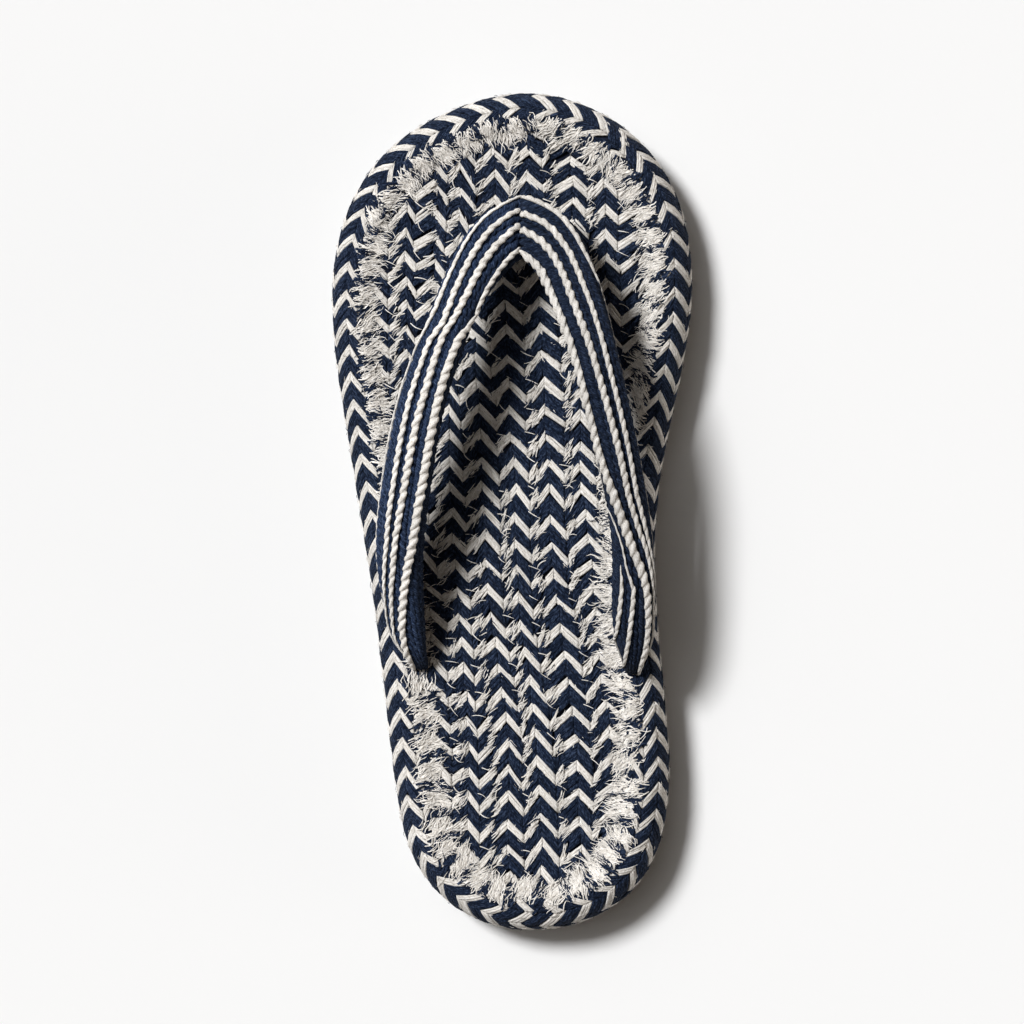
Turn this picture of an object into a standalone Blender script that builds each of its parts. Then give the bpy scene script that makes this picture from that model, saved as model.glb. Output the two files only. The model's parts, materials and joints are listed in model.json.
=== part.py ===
"""A braided cotton thong slipper for the left foot, standing empty on its sole.

Frame: +Y points to the toe, +X to the inner side of the foot (the big toe), +Z up.
The origin is on the floor, under the middle of the slipper. Tables and sizes are in
millimetres, and mesh_object() turns them into metres.

A flat base carries a thick braid round its edge and a mat of braids on top. A V-shaped
strap of two corded arms is held by a toe post and by two tongues that go down into slots
beside the rim.
"""

import math

import bmesh
import bpy
import numpy as np
from mathutils import Vector

METRES = 0.001
OBJECT_NAME = "braided_slipper"

# Driving dimensions
SOLE_LENGTH = 255.0
BALL_WIDTH = 110.0
SOLE_THICKNESS = 22.0
RIM_DEPTH = 12.5  # from the outer edge to the rim's inner wall
GAP = 0.3  # between pieces that touch

# The outline at the widest level of the rim, clockwise from the toe. Lengths are shares
# of half the sole's length, and widths are shares of half the width across the ball.
OUTLINE_COLUMNS = ("name", "x", "y")
OUTLINE = (
    ("toe tip", 0.06, 1.0),
    ("big toe", 0.50, 0.953),
    ("big toe corner", 0.85, 0.812),
    ("inner ball", 1.0, 0.565),
    ("behind inner ball", 0.94, 0.330),
    ("inner waist front", 0.83, 0.094),
    ("inner waist", 0.796, -0.110),
    ("inner heel front", 0.842, -0.408),
    ("inner heel", 0.872, -0.660),
    ("inner heel corner", 0.742, -0.866),
    ("heel back inner", 0.472, -0.966),
    ("heel tip", 0.15, -1.0),
    ("heel back outer", -0.238, -0.968),
    ("outer heel corner", -0.54, -0.839),
    ("outer heel", -0.65, -0.655),
    ("outer waist", -0.785, -0.172),
    ("behind outer ball", -0.92, 0.188),
    ("outer ball", -1.0, 0.455),
    ("little toe", -0.95, 0.682),
    ("little toe corner", -0.69, 0.867),
    ("outer toes", -0.334, 0.961),
)

# How far the whole sole stands off the floor along its length
LIFT_COLUMNS = ("name", "y", "lift")
LIFT = (
    ("heel edge", -127.5, 1.2),
    ("heel flat back", -105.0, 0.0),
    ("heel flat front", -48.0, 0.0),
    ("arch", -10.0, 1.8),
    ("ball flat back", 22.0, 0.0),
    ("ball flat front", 84.0, 0.0),
    ("toe spring", 127.5, 3.6),
)

# Base
SOLE_INSET = RIM_DEPTH + GAP
SOLE_TOP = 16.4
SOLE_CHAMFER = 1.4
SOLE_STATIONS = 96

# Rim: a half-round braid whose legs zigzag round the section
RIM_BULGE = 9.5  # from the outer edge to the section's highest point
RIM_FOOT = 0.5  # the rim's underside stands this much above the base's
RIM_LEGS = 10
RIM_TURN_END = 106.0  # degrees past the widest point where the top curls down to the mat
RIM_PERIOD = 8.3
RIM_LEAD = 4.6  # how far the zigzag's points run ahead along the edge
RIM_RAISE = 0.9  # from the sunk navy strips to the raised cream strips
TURN_SOFTNESS = 0.4  # how gently the zigzag changes hands round the toe and the heel

# Mat of braids
MAT_BOTTOM = SOLE_TOP + GAP + 0.1
MAT_TOP = 20.3
BRAID_WIDTH = 11.0
BRAID_PERIOD = 8.0
BRAID_LEAD = 4.2
BRAID_CROWN = 1.6  # from the groove between braids to a braid's middle
STRIP_RAISE = 1.0
MAT_HALF_WIDTH = 60.5
MAT_HALF_LENGTH = 136.0

# Strap arms. Each row is one section: where its outer edge and its inner edge run, and
# how thick the padding is between its top and its underside.
ARM_COLUMNS = ("name", "outer_x", "outer_y", "outer_z", "inner_x", "inner_y", "inner_z", "thick")
OUTER_ARM = (
    ("inside the seam", 5.4, 93.6, 31.6, 5.4, 77.8, 33.4, 6.6),
    ("seam", 4.4, 95.0, 32.4, 4.4, 76.5, 34.4, 8.2),
    ("toe bend", -7.0, 88.7, 33.8, 0.4, 72.8, 37.0, 9.0),
    ("toe side", -16.0, 75.5, 38.6, -6.4, 63.5, 42.0, 9.0),
    ("front slope", -24.4, 53.0, 44.4, -13.4, 46.5, 47.8, 9.0),
    ("crest", -30.4, 36.0, 45.2, -18.0, 31.5, 48.6, 9.0),
    ("instep", -36.0, 11.0, 43.4, -22.2, 8.0, 46.8, 9.0),
    ("outermost", -38.7, -13.0, 37.2, -25.0, -12.0, 41.0, 8.8),
    ("lower bend", -36.6, -30.0, 31.0, -25.4, -27.4, 34.6, 8.2),
    ("foot", -34.0, -38.6, 27.8, -25.2, -36.4, 30.6, 6.8),
    ("slot", -30.0, -44.0, 24.8, -25.0, -43.2, 25.8, 4.2),
)
INNER_ARM = (
    ("inside the seam", 2.6, 93.6, 31.6, 2.6, 77.8, 33.4, 6.6),
    ("seam", 3.6, 95.0, 32.4, 3.6, 76.5, 34.4, 8.2),
    ("toe bend", 15.4, 89.8, 33.8, 8.6, 72.0, 37.0, 9.0),
    ("toe side", 24.4, 76.2, 38.4, 14.0, 61.5, 41.8, 9.0),
    ("front slope", 31.0, 55.0, 44.0, 20.0, 46.0, 47.4, 9.0),
    ("crest", 35.2, 37.5, 44.2, 24.0, 31.0, 47.6, 9.0),
    ("instep", 40.8, 11.0, 40.8, 29.4, 8.5, 44.0, 9.4),
    ("outermost", 43.8, -14.0, 35.0, 32.0, -13.5, 38.2, 9.4),
    ("lower bend", 43.4, -30.5, 31.2, 31.6, -30.0, 34.6, 8.2),
    ("foot", 42.4, -39.4, 27.8, 32.6, -39.0, 30.6, 6.8),
    ("slot", 39.6, -45.2, 24.8, 34.6, -45.4, 25.8, 4.2),
)
ARM_STATIONS = 34

# Cords across the top of an arm, from its outer edge to its inner edge
CORD_COLUMNS = ("name", "share", "raise")
CORDS = (
    ("cream edge", 0.09, 0.25),
    ("wide navy", 0.19, 0.30),
    ("outer cream", 0.12, 0.55),
    ("middle navy", 0.14, 0.25),
    ("middle cream", 0.13, 0.60),
    ("inner navy", 0.13, 0.25),
    ("thick cream", 0.20, 0.80),
)
ARM_SQUARENESS = 2.6  # 2 is an ellipse, and more is squarer
ARM_UNDERSIDE_POINTS = 6

# Tongues at the ends of the arms, in slots cut through the rim, mat and base: name, x, y
TONGUES = (
    ("outer", -27.0, -44.6),
    ("inner", 36.7, -46.0),
)
TONGUE_LONG = 7.6
TONGUE_WIDE = 4.8
TONGUE_BOTTOM = 9.0
TONGUE_TOP = 25.2
SLOT_MOUTH = 40.0
PLUG_GAP = 0.4  # round a tongue in its slot, and round the toe post in its hole
BAR_SIDES = 20

# Toe post, in a hole down through the mat and up into the strap
POST_X = 3.9
POST_Y = 83.5
POST_RADIUS = 3.2
POST_WAIST = 2.8
POST_BOTTOM = 8.0
POST_TOP = 33.6

CREAM = (0.74, 0.68, 0.58, 1.0)
NAVY = (0.018, 0.028, 0.085, 1.0)


def row_dict(columns, row):
    return dict(zip(columns, row))


def clear_scene():
    for old in list(bpy.data.objects):
        bpy.data.objects.remove(old, do_unlink=True)


def make_collections():
    """The collections for the slipper's pieces and for the cutters."""
    scene_root = bpy.context.scene.collection
    parts = bpy.data.collections.new(OBJECT_NAME)
    cutters = bpy.data.collections.new("cutters")
    cutters.hide_render = True
    scene_root.children.link(parts)
    scene_root.children.link(cutters)
    return parts, cutters


def cloth(name, colour, roughness):
    """A plain woven cotton finish."""
    material = bpy.data.materials.new(name)
    material.use_nodes = True
    shader = material.node_tree.nodes["Principled BSDF"]
    shader.inputs["Base Color"].default_value = colour
    shader.inputs["Roughness"].default_value = roughness
    shader.inputs["Metallic"].default_value = 0.0
    material.diffuse_color = colour
    return material


def mesh_object(name, points, faces, collection, material=None):
    """An object from points in millimetres, its faces turned outward."""
    mesh = bpy.data.meshes.new(name)
    mesh.from_pydata([Vector(p) * METRES for p in points], [], faces)
    shape = bmesh.new()
    shape.from_mesh(mesh)
    bmesh.ops.recalc_face_normals(shape, faces=shape.faces)
    shape.to_mesh(mesh)
    shape.free()
    mesh.shade_smooth()
    mesh.set_sharp_from_angle(angle=math.radians(50))
    if material:
        mesh.materials.append(material)
    made = bpy.data.objects.new(name, mesh)
    collection.objects.link(made)
    return made


def as_cutter(helper):
    helper.hide_render = True
    helper.display_type = "WIRE"
    return helper


def combine(target, operation, others):
    """Joins, cuts or clips the target with each of the others."""
    for other in others:
        step = target.modifiers.new(f"{operation.lower()} {other.name}", "BOOLEAN")
        step.operation = operation
        step.object = other
        step.solver = "EXACT"


# Curves and heights


def cubic_through(points, closed):
    """A function of 0 to 1 along a smooth curve through the points, by chord length."""
    points = np.array(points, float)
    if closed:
        points = np.vstack([points, points[:1]])
    steps = np.linalg.norm(np.diff(points, axis=0), axis=1)
    knots = np.concatenate([[0.0], np.cumsum(steps)])
    count = len(points)
    matrix = np.zeros((count, count))
    right = np.zeros((count, points.shape[1]))
    slopes = np.diff(points, axis=0) / steps[:, None]
    for i in range(1, count - 1):
        matrix[i, i - 1 : i + 2] = steps[i - 1], 2 * (steps[i - 1] + steps[i]), steps[i]
        right[i] = 6 * (slopes[i] - slopes[i - 1])
    if closed:
        matrix[0, 0], matrix[0, -1] = 1.0, -1.0
        matrix[-1, 0], matrix[-1, 1] = 2 * steps[0], steps[0]
        matrix[-1, -2], matrix[-1, -1] = steps[-1], 2 * steps[-1]
        right[-1] = 6 * (slopes[0] - slopes[-1])
    else:
        matrix[0, 0] = matrix[-1, -1] = 1.0
    bends = np.linalg.solve(matrix, right)

    def at(share):
        place = share * knots[-1]
        i = int(min(max(np.searchsorted(knots, place, side="right") - 1, 0), count - 2))
        step = steps[i]
        near, far = (knots[i + 1] - place) / step, (place - knots[i]) / step
        curve = (near**3 - near) * bends[i] + (far**3 - far) * bends[i + 1]
        return near * points[i] + far * points[i + 1] + curve * step**2 / 6

    return at


class Outline:
    """The slipper's edge, walked clockwise by distance from the toe tip."""

    DENSITY = 1200

    def __init__(self):
        rows = [row_dict(OUTLINE_COLUMNS, row) for row in OUTLINE]
        places = [(r["x"] * BALL_WIDTH / 2, r["y"] * SOLE_LENGTH / 2) for r in rows]
        curve = cubic_through(places, closed=True)
        self.points = np.array([curve(i / self.DENSITY) for i in range(self.DENSITY + 1)])
        steps = np.linalg.norm(np.diff(self.points, axis=0), axis=1)
        self.walked = np.concatenate([[0.0], np.cumsum(steps)])
        self.length = self.walked[-1]

    def at(self, distance, inset=0.0):
        """The place at a distance along the edge and an inset from it, and the unit
        vector along the edge there."""
        place = distance % self.length
        here = self._read(place)
        ahead = self._read((place + 0.5) % self.length)
        behind = self._read((place - 0.5) % self.length)
        along = (ahead - behind) / np.linalg.norm(ahead - behind)
        inward = np.array([along[1], -along[0]])
        return here + inward * inset, along

    def _read(self, place):
        return np.array([np.interp(place, self.walked, self.points[:, k]) for k in (0, 1)])


def lift(y):
    """The sole's height off the floor at y, eased between the rows of LIFT."""
    rows = [row_dict(LIFT_COLUMNS, row) for row in LIFT]
    y = min(max(y, rows[0]["y"]), rows[-1]["y"])
    for low, high in zip(rows, rows[1:]):
        if y <= high["y"]:
            share = (y - low["y"]) / (high["y"] - low["y"])
            if low is rows[0]:
                eased = 1 - (1 - share) ** 2
            elif high is rows[-1]:
                eased = share**2
            else:
                eased = share * share * (3 - 2 * share)
            return low["lift"] + (high["lift"] - low["lift"]) * eased
    return rows[-1]["lift"]


def raised(place, z):
    return (place[0], place[1], z + lift(place[1]))


def ring_faces(first, second, count, closed=True):
    """Quads between two rows of points that start at the given indices."""
    faces = []
    for i in range(count if closed else count - 1):
        j = (i + 1) % count
        faces.append((first + i, first + j, second + j, second + i))
    return faces


def disc_faces(start, count, upward):
    """Strips across a closed loop of points, from one side to the other."""
    faces = []
    for i in range(count // 2):
        left, right = start + (count - i) % count, start + i
        next_left, next_right = start + count - i - 1, start + i + 1
        corners = [left, right, next_right, next_left]
        corners = [c for k, c in enumerate(corners) if c not in corners[:k]]
        if len(corners) > 2:
            faces.append(tuple(corners if not upward else reversed(corners)))
    return faces


# Pieces


def make_sole(edge, collection):
    """The base: a flat slab inside the rim, chamfered where it meets the floor."""
    loops = (
        (SOLE_INSET + SOLE_CHAMFER, 0.0),
        (SOLE_INSET, SOLE_CHAMFER),
        (SOLE_INSET, SOLE_TOP),
    )
    points, faces = [], []
    for inset, z in loops:
        for i in range(SOLE_STATIONS):
            place, _ = edge.at(i * edge.length / SOLE_STATIONS, inset)
            points.append(raised(place, z))
    for k in range(len(loops) - 1):
        faces += ring_faces(k * SOLE_STATIONS, (k + 1) * SOLE_STATIONS, SOLE_STATIONS)
    faces += disc_faces(0, SOLE_STATIONS, upward=False)
    faces += disc_faces((len(loops) - 1) * SOLE_STATIONS, SOLE_STATIONS, upward=True)
    return mesh_object("sole", points, faces, collection, cloth("sole_cotton", NAVY, 0.95))


def rim_section(turn):
    """Inset and height on the rim's half-round at a turn in degrees, where 0 is the
    outermost point, -90 the underside and +90 the top."""
    angle = math.radians(turn)
    middle = SOLE_THICKNESS / 2
    reach = middle if turn > 0 else middle - RIM_FOOT
    return RIM_BULGE * (1 - math.cos(angle)), middle + reach * math.sin(angle)


def make_rim(edge, collection):
    """The braid round the edge: strips that zigzag along it, in relief."""
    periods = round(edge.length / RIM_PERIOD)
    stations = 2 * periods
    step = edge.length / stations
    points, faces = [], []
    for leg in range(RIM_LEGS + 1):
        turn = -90 + (RIM_TURN_END + 90) * leg / RIM_LEGS
        inset, z = rim_section(turn)
        outward, upward = math.cos(math.radians(turn)), math.sin(math.radians(turn))
        at_border = leg in (0, RIM_LEGS)
        for i in range(stations):
            _, along = edge.at(i * step, inset)
            toward_toe = along[1] / math.hypot(along[1], TURN_SOFTNESS)
            lead = RIM_LEAD * toward_toe * (leg % 2)
            sunk = 0.0 if at_border else RIM_RAISE * (i % 2)
            place, _ = edge.at(i * step + lead, inset + sunk * outward)
            points.append(raised(place, z - sunk * upward))
    for i in range(stations):
        place, _ = edge.at(i * step, RIM_DEPTH)
        points.append(raised(place, RIM_FOOT))
    loops = RIM_LEGS + 2
    for k in range(loops):
        faces += ring_faces(k * stations, (k + 1) % loops * stations, stations)
    return mesh_object("rim", points, faces, collection, cloth("rim_cotton", CREAM, 0.95))


def make_mat_clip(edge, collection):
    """A prism inside the rim that clips the mat to its outline."""
    low, high = MAT_BOTTOM - 10.0, MAT_TOP + 10.0
    points, faces = [], []
    for z in (low, high):
        for i in range(SOLE_STATIONS):
            place, _ = edge.at(i * edge.length / SOLE_STATIONS, SOLE_INSET)
            points.append((place[0], place[1], z))
    faces += ring_faces(0, SOLE_STATIONS, SOLE_STATIONS)
    faces += disc_faces(0, SOLE_STATIONS, upward=False)
    faces += disc_faces(SOLE_STATIONS, SOLE_STATIONS, upward=True)
    return as_cutter(mesh_object("mat_clip", points, faces, collection))


def make_footbed(edge, collection, cutters):
    """The mat: braids side by side, each a crowned row of chevron strips in relief."""
    columns = round(2 * MAT_HALF_WIDTH / (BRAID_WIDTH / 2)) + 1
    rows = round(2 * MAT_HALF_LENGTH / (BRAID_PERIOD / 2)) + 1
    points, faces = [], []
    for j in range(rows):
        for i in range(columns):
            x = -MAT_HALF_WIDTH + i * BRAID_WIDTH / 2
            on_crown = i % 2
            y = -MAT_HALF_LENGTH + j * BRAID_PERIOD / 2 + BRAID_LEAD * on_crown
            z = MAT_TOP + BRAID_CROWN * (on_crown - 0.5) - STRIP_RAISE * (j % 2)
            points.append(raised((x, y), z))
    under = len(points)
    for j in range(rows):
        y = -MAT_HALF_LENGTH + j * BRAID_PERIOD / 2
        for x in (-MAT_HALF_WIDTH, MAT_HALF_WIDTH):
            points.append(raised((x, y), MAT_BOTTOM))
    for j in range(rows - 1):
        for i in range(columns - 1):
            a = j * columns + i
            faces.append((a, a + 1, a + 1 + columns, a + columns))
        left, right = under + 2 * j, under + 2 * j + 1
        faces.append((left, left + 2, right + 2, right))
        faces.append((left, j * columns, (j + 1) * columns, left + 2))
        far = j * columns + columns - 1
        faces.append((right, right + 2, far + columns, far))
    faces.append((under, under + 1, *reversed(range(columns))))
    last = (rows - 1) * columns
    end = under + 2 * (rows - 1)
    faces.append((end + 1, end, *range(last, last + columns)))
    mat = mesh_object("footbed", points, faces, collection, cloth("mat_cotton", CREAM, 0.95))
    combine(mat, "INTERSECT", [make_mat_clip(edge, cutters)])
    return mat


def arm_profile(width, thick):
    """Points round an arm's section: across the corded top from the outer edge to the
    inner edge, then back under it. Each point is (across, up) from the section's middle."""
    half_width, half_thick = width / 2, thick / 2

    def rounded(share, side):
        across = -half_width + width * share
        inside = max(1 - abs(across / half_width) ** ARM_SQUARENESS, 0.0)
        return across, side * half_thick * inside ** (1 / ARM_SQUARENESS)

    profile = [rounded(0.0, 1)]
    border = 0.0
    for row in CORDS:
        cord = row_dict(CORD_COLUMNS, row)
        across, up = rounded(border + cord["share"] / 2, 1)
        slope = math.hypot(across / half_width, up / half_thick)
        grow_across = cord["raise"] * across / half_width / slope
        grow_up = cord["raise"] * up / half_thick / slope
        profile.append((across + grow_across, up + grow_up))
        border = min(border + cord["share"], 1.0)
        profile.append(rounded(border, 1))
    for k in range(1, ARM_UNDERSIDE_POINTS):
        angle = math.pi * k / ARM_UNDERSIDE_POINTS
        profile.append(rounded(0.5 + 0.5 * math.cos(angle), -1))
    return profile


def make_arm(name, table, collection):
    """One arm of the strap: its section swept through the rows of its table."""
    path = cubic_through([row[1:] for row in table], closed=False)
    stations = [path(i / (ARM_STATIONS - 1)) for i in range(ARM_STATIONS)]
    outers = [Vector(station[0:3]) for station in stations]
    inners = [Vector(station[3:6]) for station in stations]
    middles = [(outer + inner) / 2 for outer, inner in zip(outers, inners)]
    points, faces = [], []
    for i, station in enumerate(stations):
        thick = station[ARM_COLUMNS.index("thick") - 1]
        ahead = middles[min(i + 1, ARM_STATIONS - 1)] - middles[max(i - 1, 0)]
        across = (inners[i] - outers[i]).normalized()
        up = across.cross(ahead).normalized()
        if up.z < 0:
            up = -up
        for right, high in arm_profile((inners[i] - outers[i]).length, thick):
            points.append(middles[i] + across * right + up * high)
    count = len(points) // ARM_STATIONS
    for k in range(ARM_STATIONS - 1):
        faces += ring_faces(k * count, (k + 1) * count, count)
    faces.append(tuple(reversed(range(count))))
    faces.append(tuple(range((ARM_STATIONS - 1) * count, ARM_STATIONS * count)))
    return mesh_object(name, points, faces, collection)


def upright_bar(name, x, y, low, high, radius_x, radius_y, collection):
    """An upright oval bar that cuts or is joined to other pieces."""
    bpy.ops.mesh.primitive_cylinder_add(
        vertices=BAR_SIDES,
        radius=METRES,
        depth=(high - low) * METRES,
        location=(x * METRES, y * METRES, (low + high) / 2 * METRES),
    )
    bar = bpy.context.object
    bar.name = name
    for vertex in bar.data.vertices:
        vertex.co *= Vector((radius_x, radius_y, 1.0))
    for home in list(bar.users_collection):
        home.objects.unlink(bar)
    collection.objects.link(bar)
    return as_cutter(bar)


def make_tongues(collection):
    """The oval tongues at the ends of the arms."""
    return [
        upright_bar(f"{name}_tongue", x, y, TONGUE_BOTTOM, TONGUE_TOP,
                    TONGUE_WIDE / 2, TONGUE_LONG / 2, collection)
        for name, x, y in TONGUES
    ]


def make_slots(collection):
    """The cutters that give each tongue its slot, open at the top."""
    return [
        upright_bar(f"{name}_slot", x, y, TONGUE_BOTTOM - GAP, SLOT_MOUTH,
                    TONGUE_WIDE / 2 + PLUG_GAP, TONGUE_LONG / 2 + PLUG_GAP, collection)
        for name, x, y in TONGUES
    ]


def make_strap(collection, cutters):
    """Both arms joined at the seam, each with its tongue."""
    outer = make_arm("strap", OUTER_ARM, collection)
    outer.data.materials.append(cloth("strap_cotton", NAVY, 0.9))
    inner = as_cutter(make_arm("inner_arm", INNER_ARM, cutters))
    combine(outer, "UNION", [inner, *make_tongues(cutters)])
    return outer


def turned(name, profile, collection):
    """A round piece from (radius, height) rows, top to bottom, with a Screw modifier."""
    mesh = bpy.data.meshes.new(name)
    points = [(radius * METRES, 0.0, z * METRES) for radius, z in profile]
    mesh.from_pydata(points, [(i, i + 1) for i in range(len(points) - 1)], [])
    made = bpy.data.objects.new(name, mesh)
    collection.objects.link(made)
    spin = made.modifiers.new("turn", "SCREW")
    spin.steps = spin.render_steps = BAR_SIDES
    spin.use_merge_vertices = True
    spin.merge_threshold = 0.00001
    return made


def make_toe_post(collection):
    """The cord between the toes, a little slimmer in the middle."""
    middle = (POST_BOTTOM + POST_TOP) / 2
    profile = (
        (0.0, POST_TOP),
        (POST_RADIUS - 0.5, POST_TOP),
        (POST_RADIUS, POST_TOP - 0.8),
        (POST_WAIST, middle + 4.0),
        (POST_WAIST, middle + 1.0),
        (POST_RADIUS, MAT_TOP),
        (POST_RADIUS, POST_BOTTOM),
        (0.0, POST_BOTTOM),
    )
    post = turned("toe_post", profile, collection)
    post.location = (POST_X * METRES, POST_Y * METRES, 0.0)
    post.data.materials.append(cloth("post_cotton", NAVY, 0.9))
    return post


def make_post_hole(collection):
    """The cutter for the post's hole, from the base up into the strap."""
    radius = POST_RADIUS + PLUG_GAP
    return upright_bar("post_hole", POST_X, POST_Y, POST_BOTTOM - GAP, POST_TOP + GAP,
                       radius, radius, collection)


def main():
    clear_scene()
    parts, cutters = make_collections()
    edge = Outline()
    sole = make_sole(edge, parts)
    rim = make_rim(edge, parts)
    footbed = make_footbed(edge, parts, cutters)
    strap = make_strap(parts, cutters)
    make_toe_post(parts)
    slots = make_slots(cutters)
    post_hole = make_post_hole(cutters)
    combine(sole, "DIFFERENCE", [*slots, post_hole])
    combine(rim, "DIFFERENCE", slots)
    combine(footbed, "DIFFERENCE", [*slots, post_hole])
    combine(strap, "DIFFERENCE", [post_hole])


main()
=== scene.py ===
"""The looks of a braided cotton thong slipper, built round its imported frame.

Tables and sizes are in millimetres, and Piece.build() turns them into metres. The frame
is +Y to the toe, +X to the inner side of the foot and +Z up, with the floor at 0. Every
braid is made of flat bundles of threads: each bundle is a leg of a zigzag, laid on its
piece's surface by a function of two places on it and a height above it.
"""

import json
import math

import bpy
import numpy as np
from mathutils import Matrix, Vector

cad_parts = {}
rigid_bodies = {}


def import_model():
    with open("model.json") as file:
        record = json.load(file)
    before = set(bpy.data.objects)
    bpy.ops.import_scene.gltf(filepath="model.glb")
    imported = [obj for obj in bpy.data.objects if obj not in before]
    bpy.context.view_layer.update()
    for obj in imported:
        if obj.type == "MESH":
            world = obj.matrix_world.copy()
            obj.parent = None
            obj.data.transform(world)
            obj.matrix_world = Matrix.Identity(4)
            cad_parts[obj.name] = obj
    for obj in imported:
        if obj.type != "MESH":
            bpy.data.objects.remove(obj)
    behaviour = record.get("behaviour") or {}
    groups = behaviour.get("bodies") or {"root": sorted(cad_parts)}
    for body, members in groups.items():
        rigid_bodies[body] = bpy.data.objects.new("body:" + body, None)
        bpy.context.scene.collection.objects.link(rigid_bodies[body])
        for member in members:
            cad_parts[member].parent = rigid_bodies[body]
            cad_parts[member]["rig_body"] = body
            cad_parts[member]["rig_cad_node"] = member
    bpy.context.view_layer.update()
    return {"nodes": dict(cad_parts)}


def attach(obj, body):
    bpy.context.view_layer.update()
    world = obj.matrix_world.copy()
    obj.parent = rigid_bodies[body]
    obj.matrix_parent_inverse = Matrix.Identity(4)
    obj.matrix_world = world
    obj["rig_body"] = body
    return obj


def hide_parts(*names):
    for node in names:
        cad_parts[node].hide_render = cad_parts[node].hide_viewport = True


MM = 0.001
RANDOM = np.random.default_rng(7)
CREAM, NAVY = "cream", "navy"

# Sizes shared with the solids
SOLE_WALL_INSET = 12.8
SOLE_CHAMFER = 1.4
RIM_MIDDLE = 11.0  # the height of the rim's widest level
RIM_FOOT = 0.5
RIM_BULGE = 9.5  # from the outer edge to the rim's highest point
MAT_TOP = 20.3
POST_X, POST_Y = 3.9, 83.5
POST_LOW, POST_HIGH = 17.0, 34.5

# How far the sole stands off the floor: y, lift
LIFT = (
    (-127.5, 1.2),
    (-105, 0),
    (-48, 0),
    (-10, 1.8),
    (22, 0),
    (84, 0),
    (127.5, 3.6),
)

# Rim: the zigzag's creases across the section, as turns in degrees (0 is the outermost
# level and 90 the top). Odd creases point clockwise along the edge and even ones back.
RIM_TURNS = (-88.0, -53.0, -17.0, 20.0, 62.0, 86.0, 108.0)
# How many creases the braid has rolled inward over the rim's top: mm along the edge, creases
RIM_ROLL = (
    (0, 1.05), (31, 1), (36.5, 1.5), (43, 1.64), (61, 1.86), (80, 2),
    (150, 2), (210, 1.65), (250, 1.65), (267, 1.8), (280, 2), (300, 2.05),
    (312, 2.45), (328, 2.82), (345, 2.85), (373, 2.8), (395, 2.95), (410, 3),
    (478, 2.8), (504, 2.9), (512, 3.05), (624, 3.05),
)
# Where the braid's repeats lie: their number, mm along the edge
RIM_PLACES = (
    (0, 7.8), (4, 46.3), (9, 93.2), (15, 142.2), (23, 211), (28, 252.6), (34, 312.5),
    (40, 370.3), (44, 405.7), (52, 475.3), (57, 517), (63, 572), (68, 618.3), (69, 631.1),
)
RIM_REPEATS = 69
RIM_LEAD = 6.0  # from a back-pointing crease to a clockwise one
# A cream bundle's width along the edge: mm along the edge, mm
RIM_CREAM = (
    (0, 3.8), (55, 3.6), (90, 3.1), (280, 3.3), (300, 4.1), (350, 4.1), (380, 3.6),
    (480, 3.1), (540, 3), (580, 3.4), (624, 3.8),
)
RIM_DEGREE = 0.19  # mm in a degree of turn
RIM_OVERLAP = 0.2  # how much wider a navy bundle is than the gap that it fills
# Its bundles: colour, share of a repeat they lie on, strands, depth of crease and of its
# painted shade, stray fibres
RIM_KINDS = ((CREAM, 0.0, 3, 0.6, 3), (NAVY, 0.5, 5, 0.3, 1))
# Its core, a dark body in painted shade that shows between the bundles: depth under the
# surface, then its wall's inset and heights
RIM_CORE_DEPTH, RIM_CORE_INSET, RIM_CORE_HEIGHTS = 1.25, 12.4, (19.0, 1.4)

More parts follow.
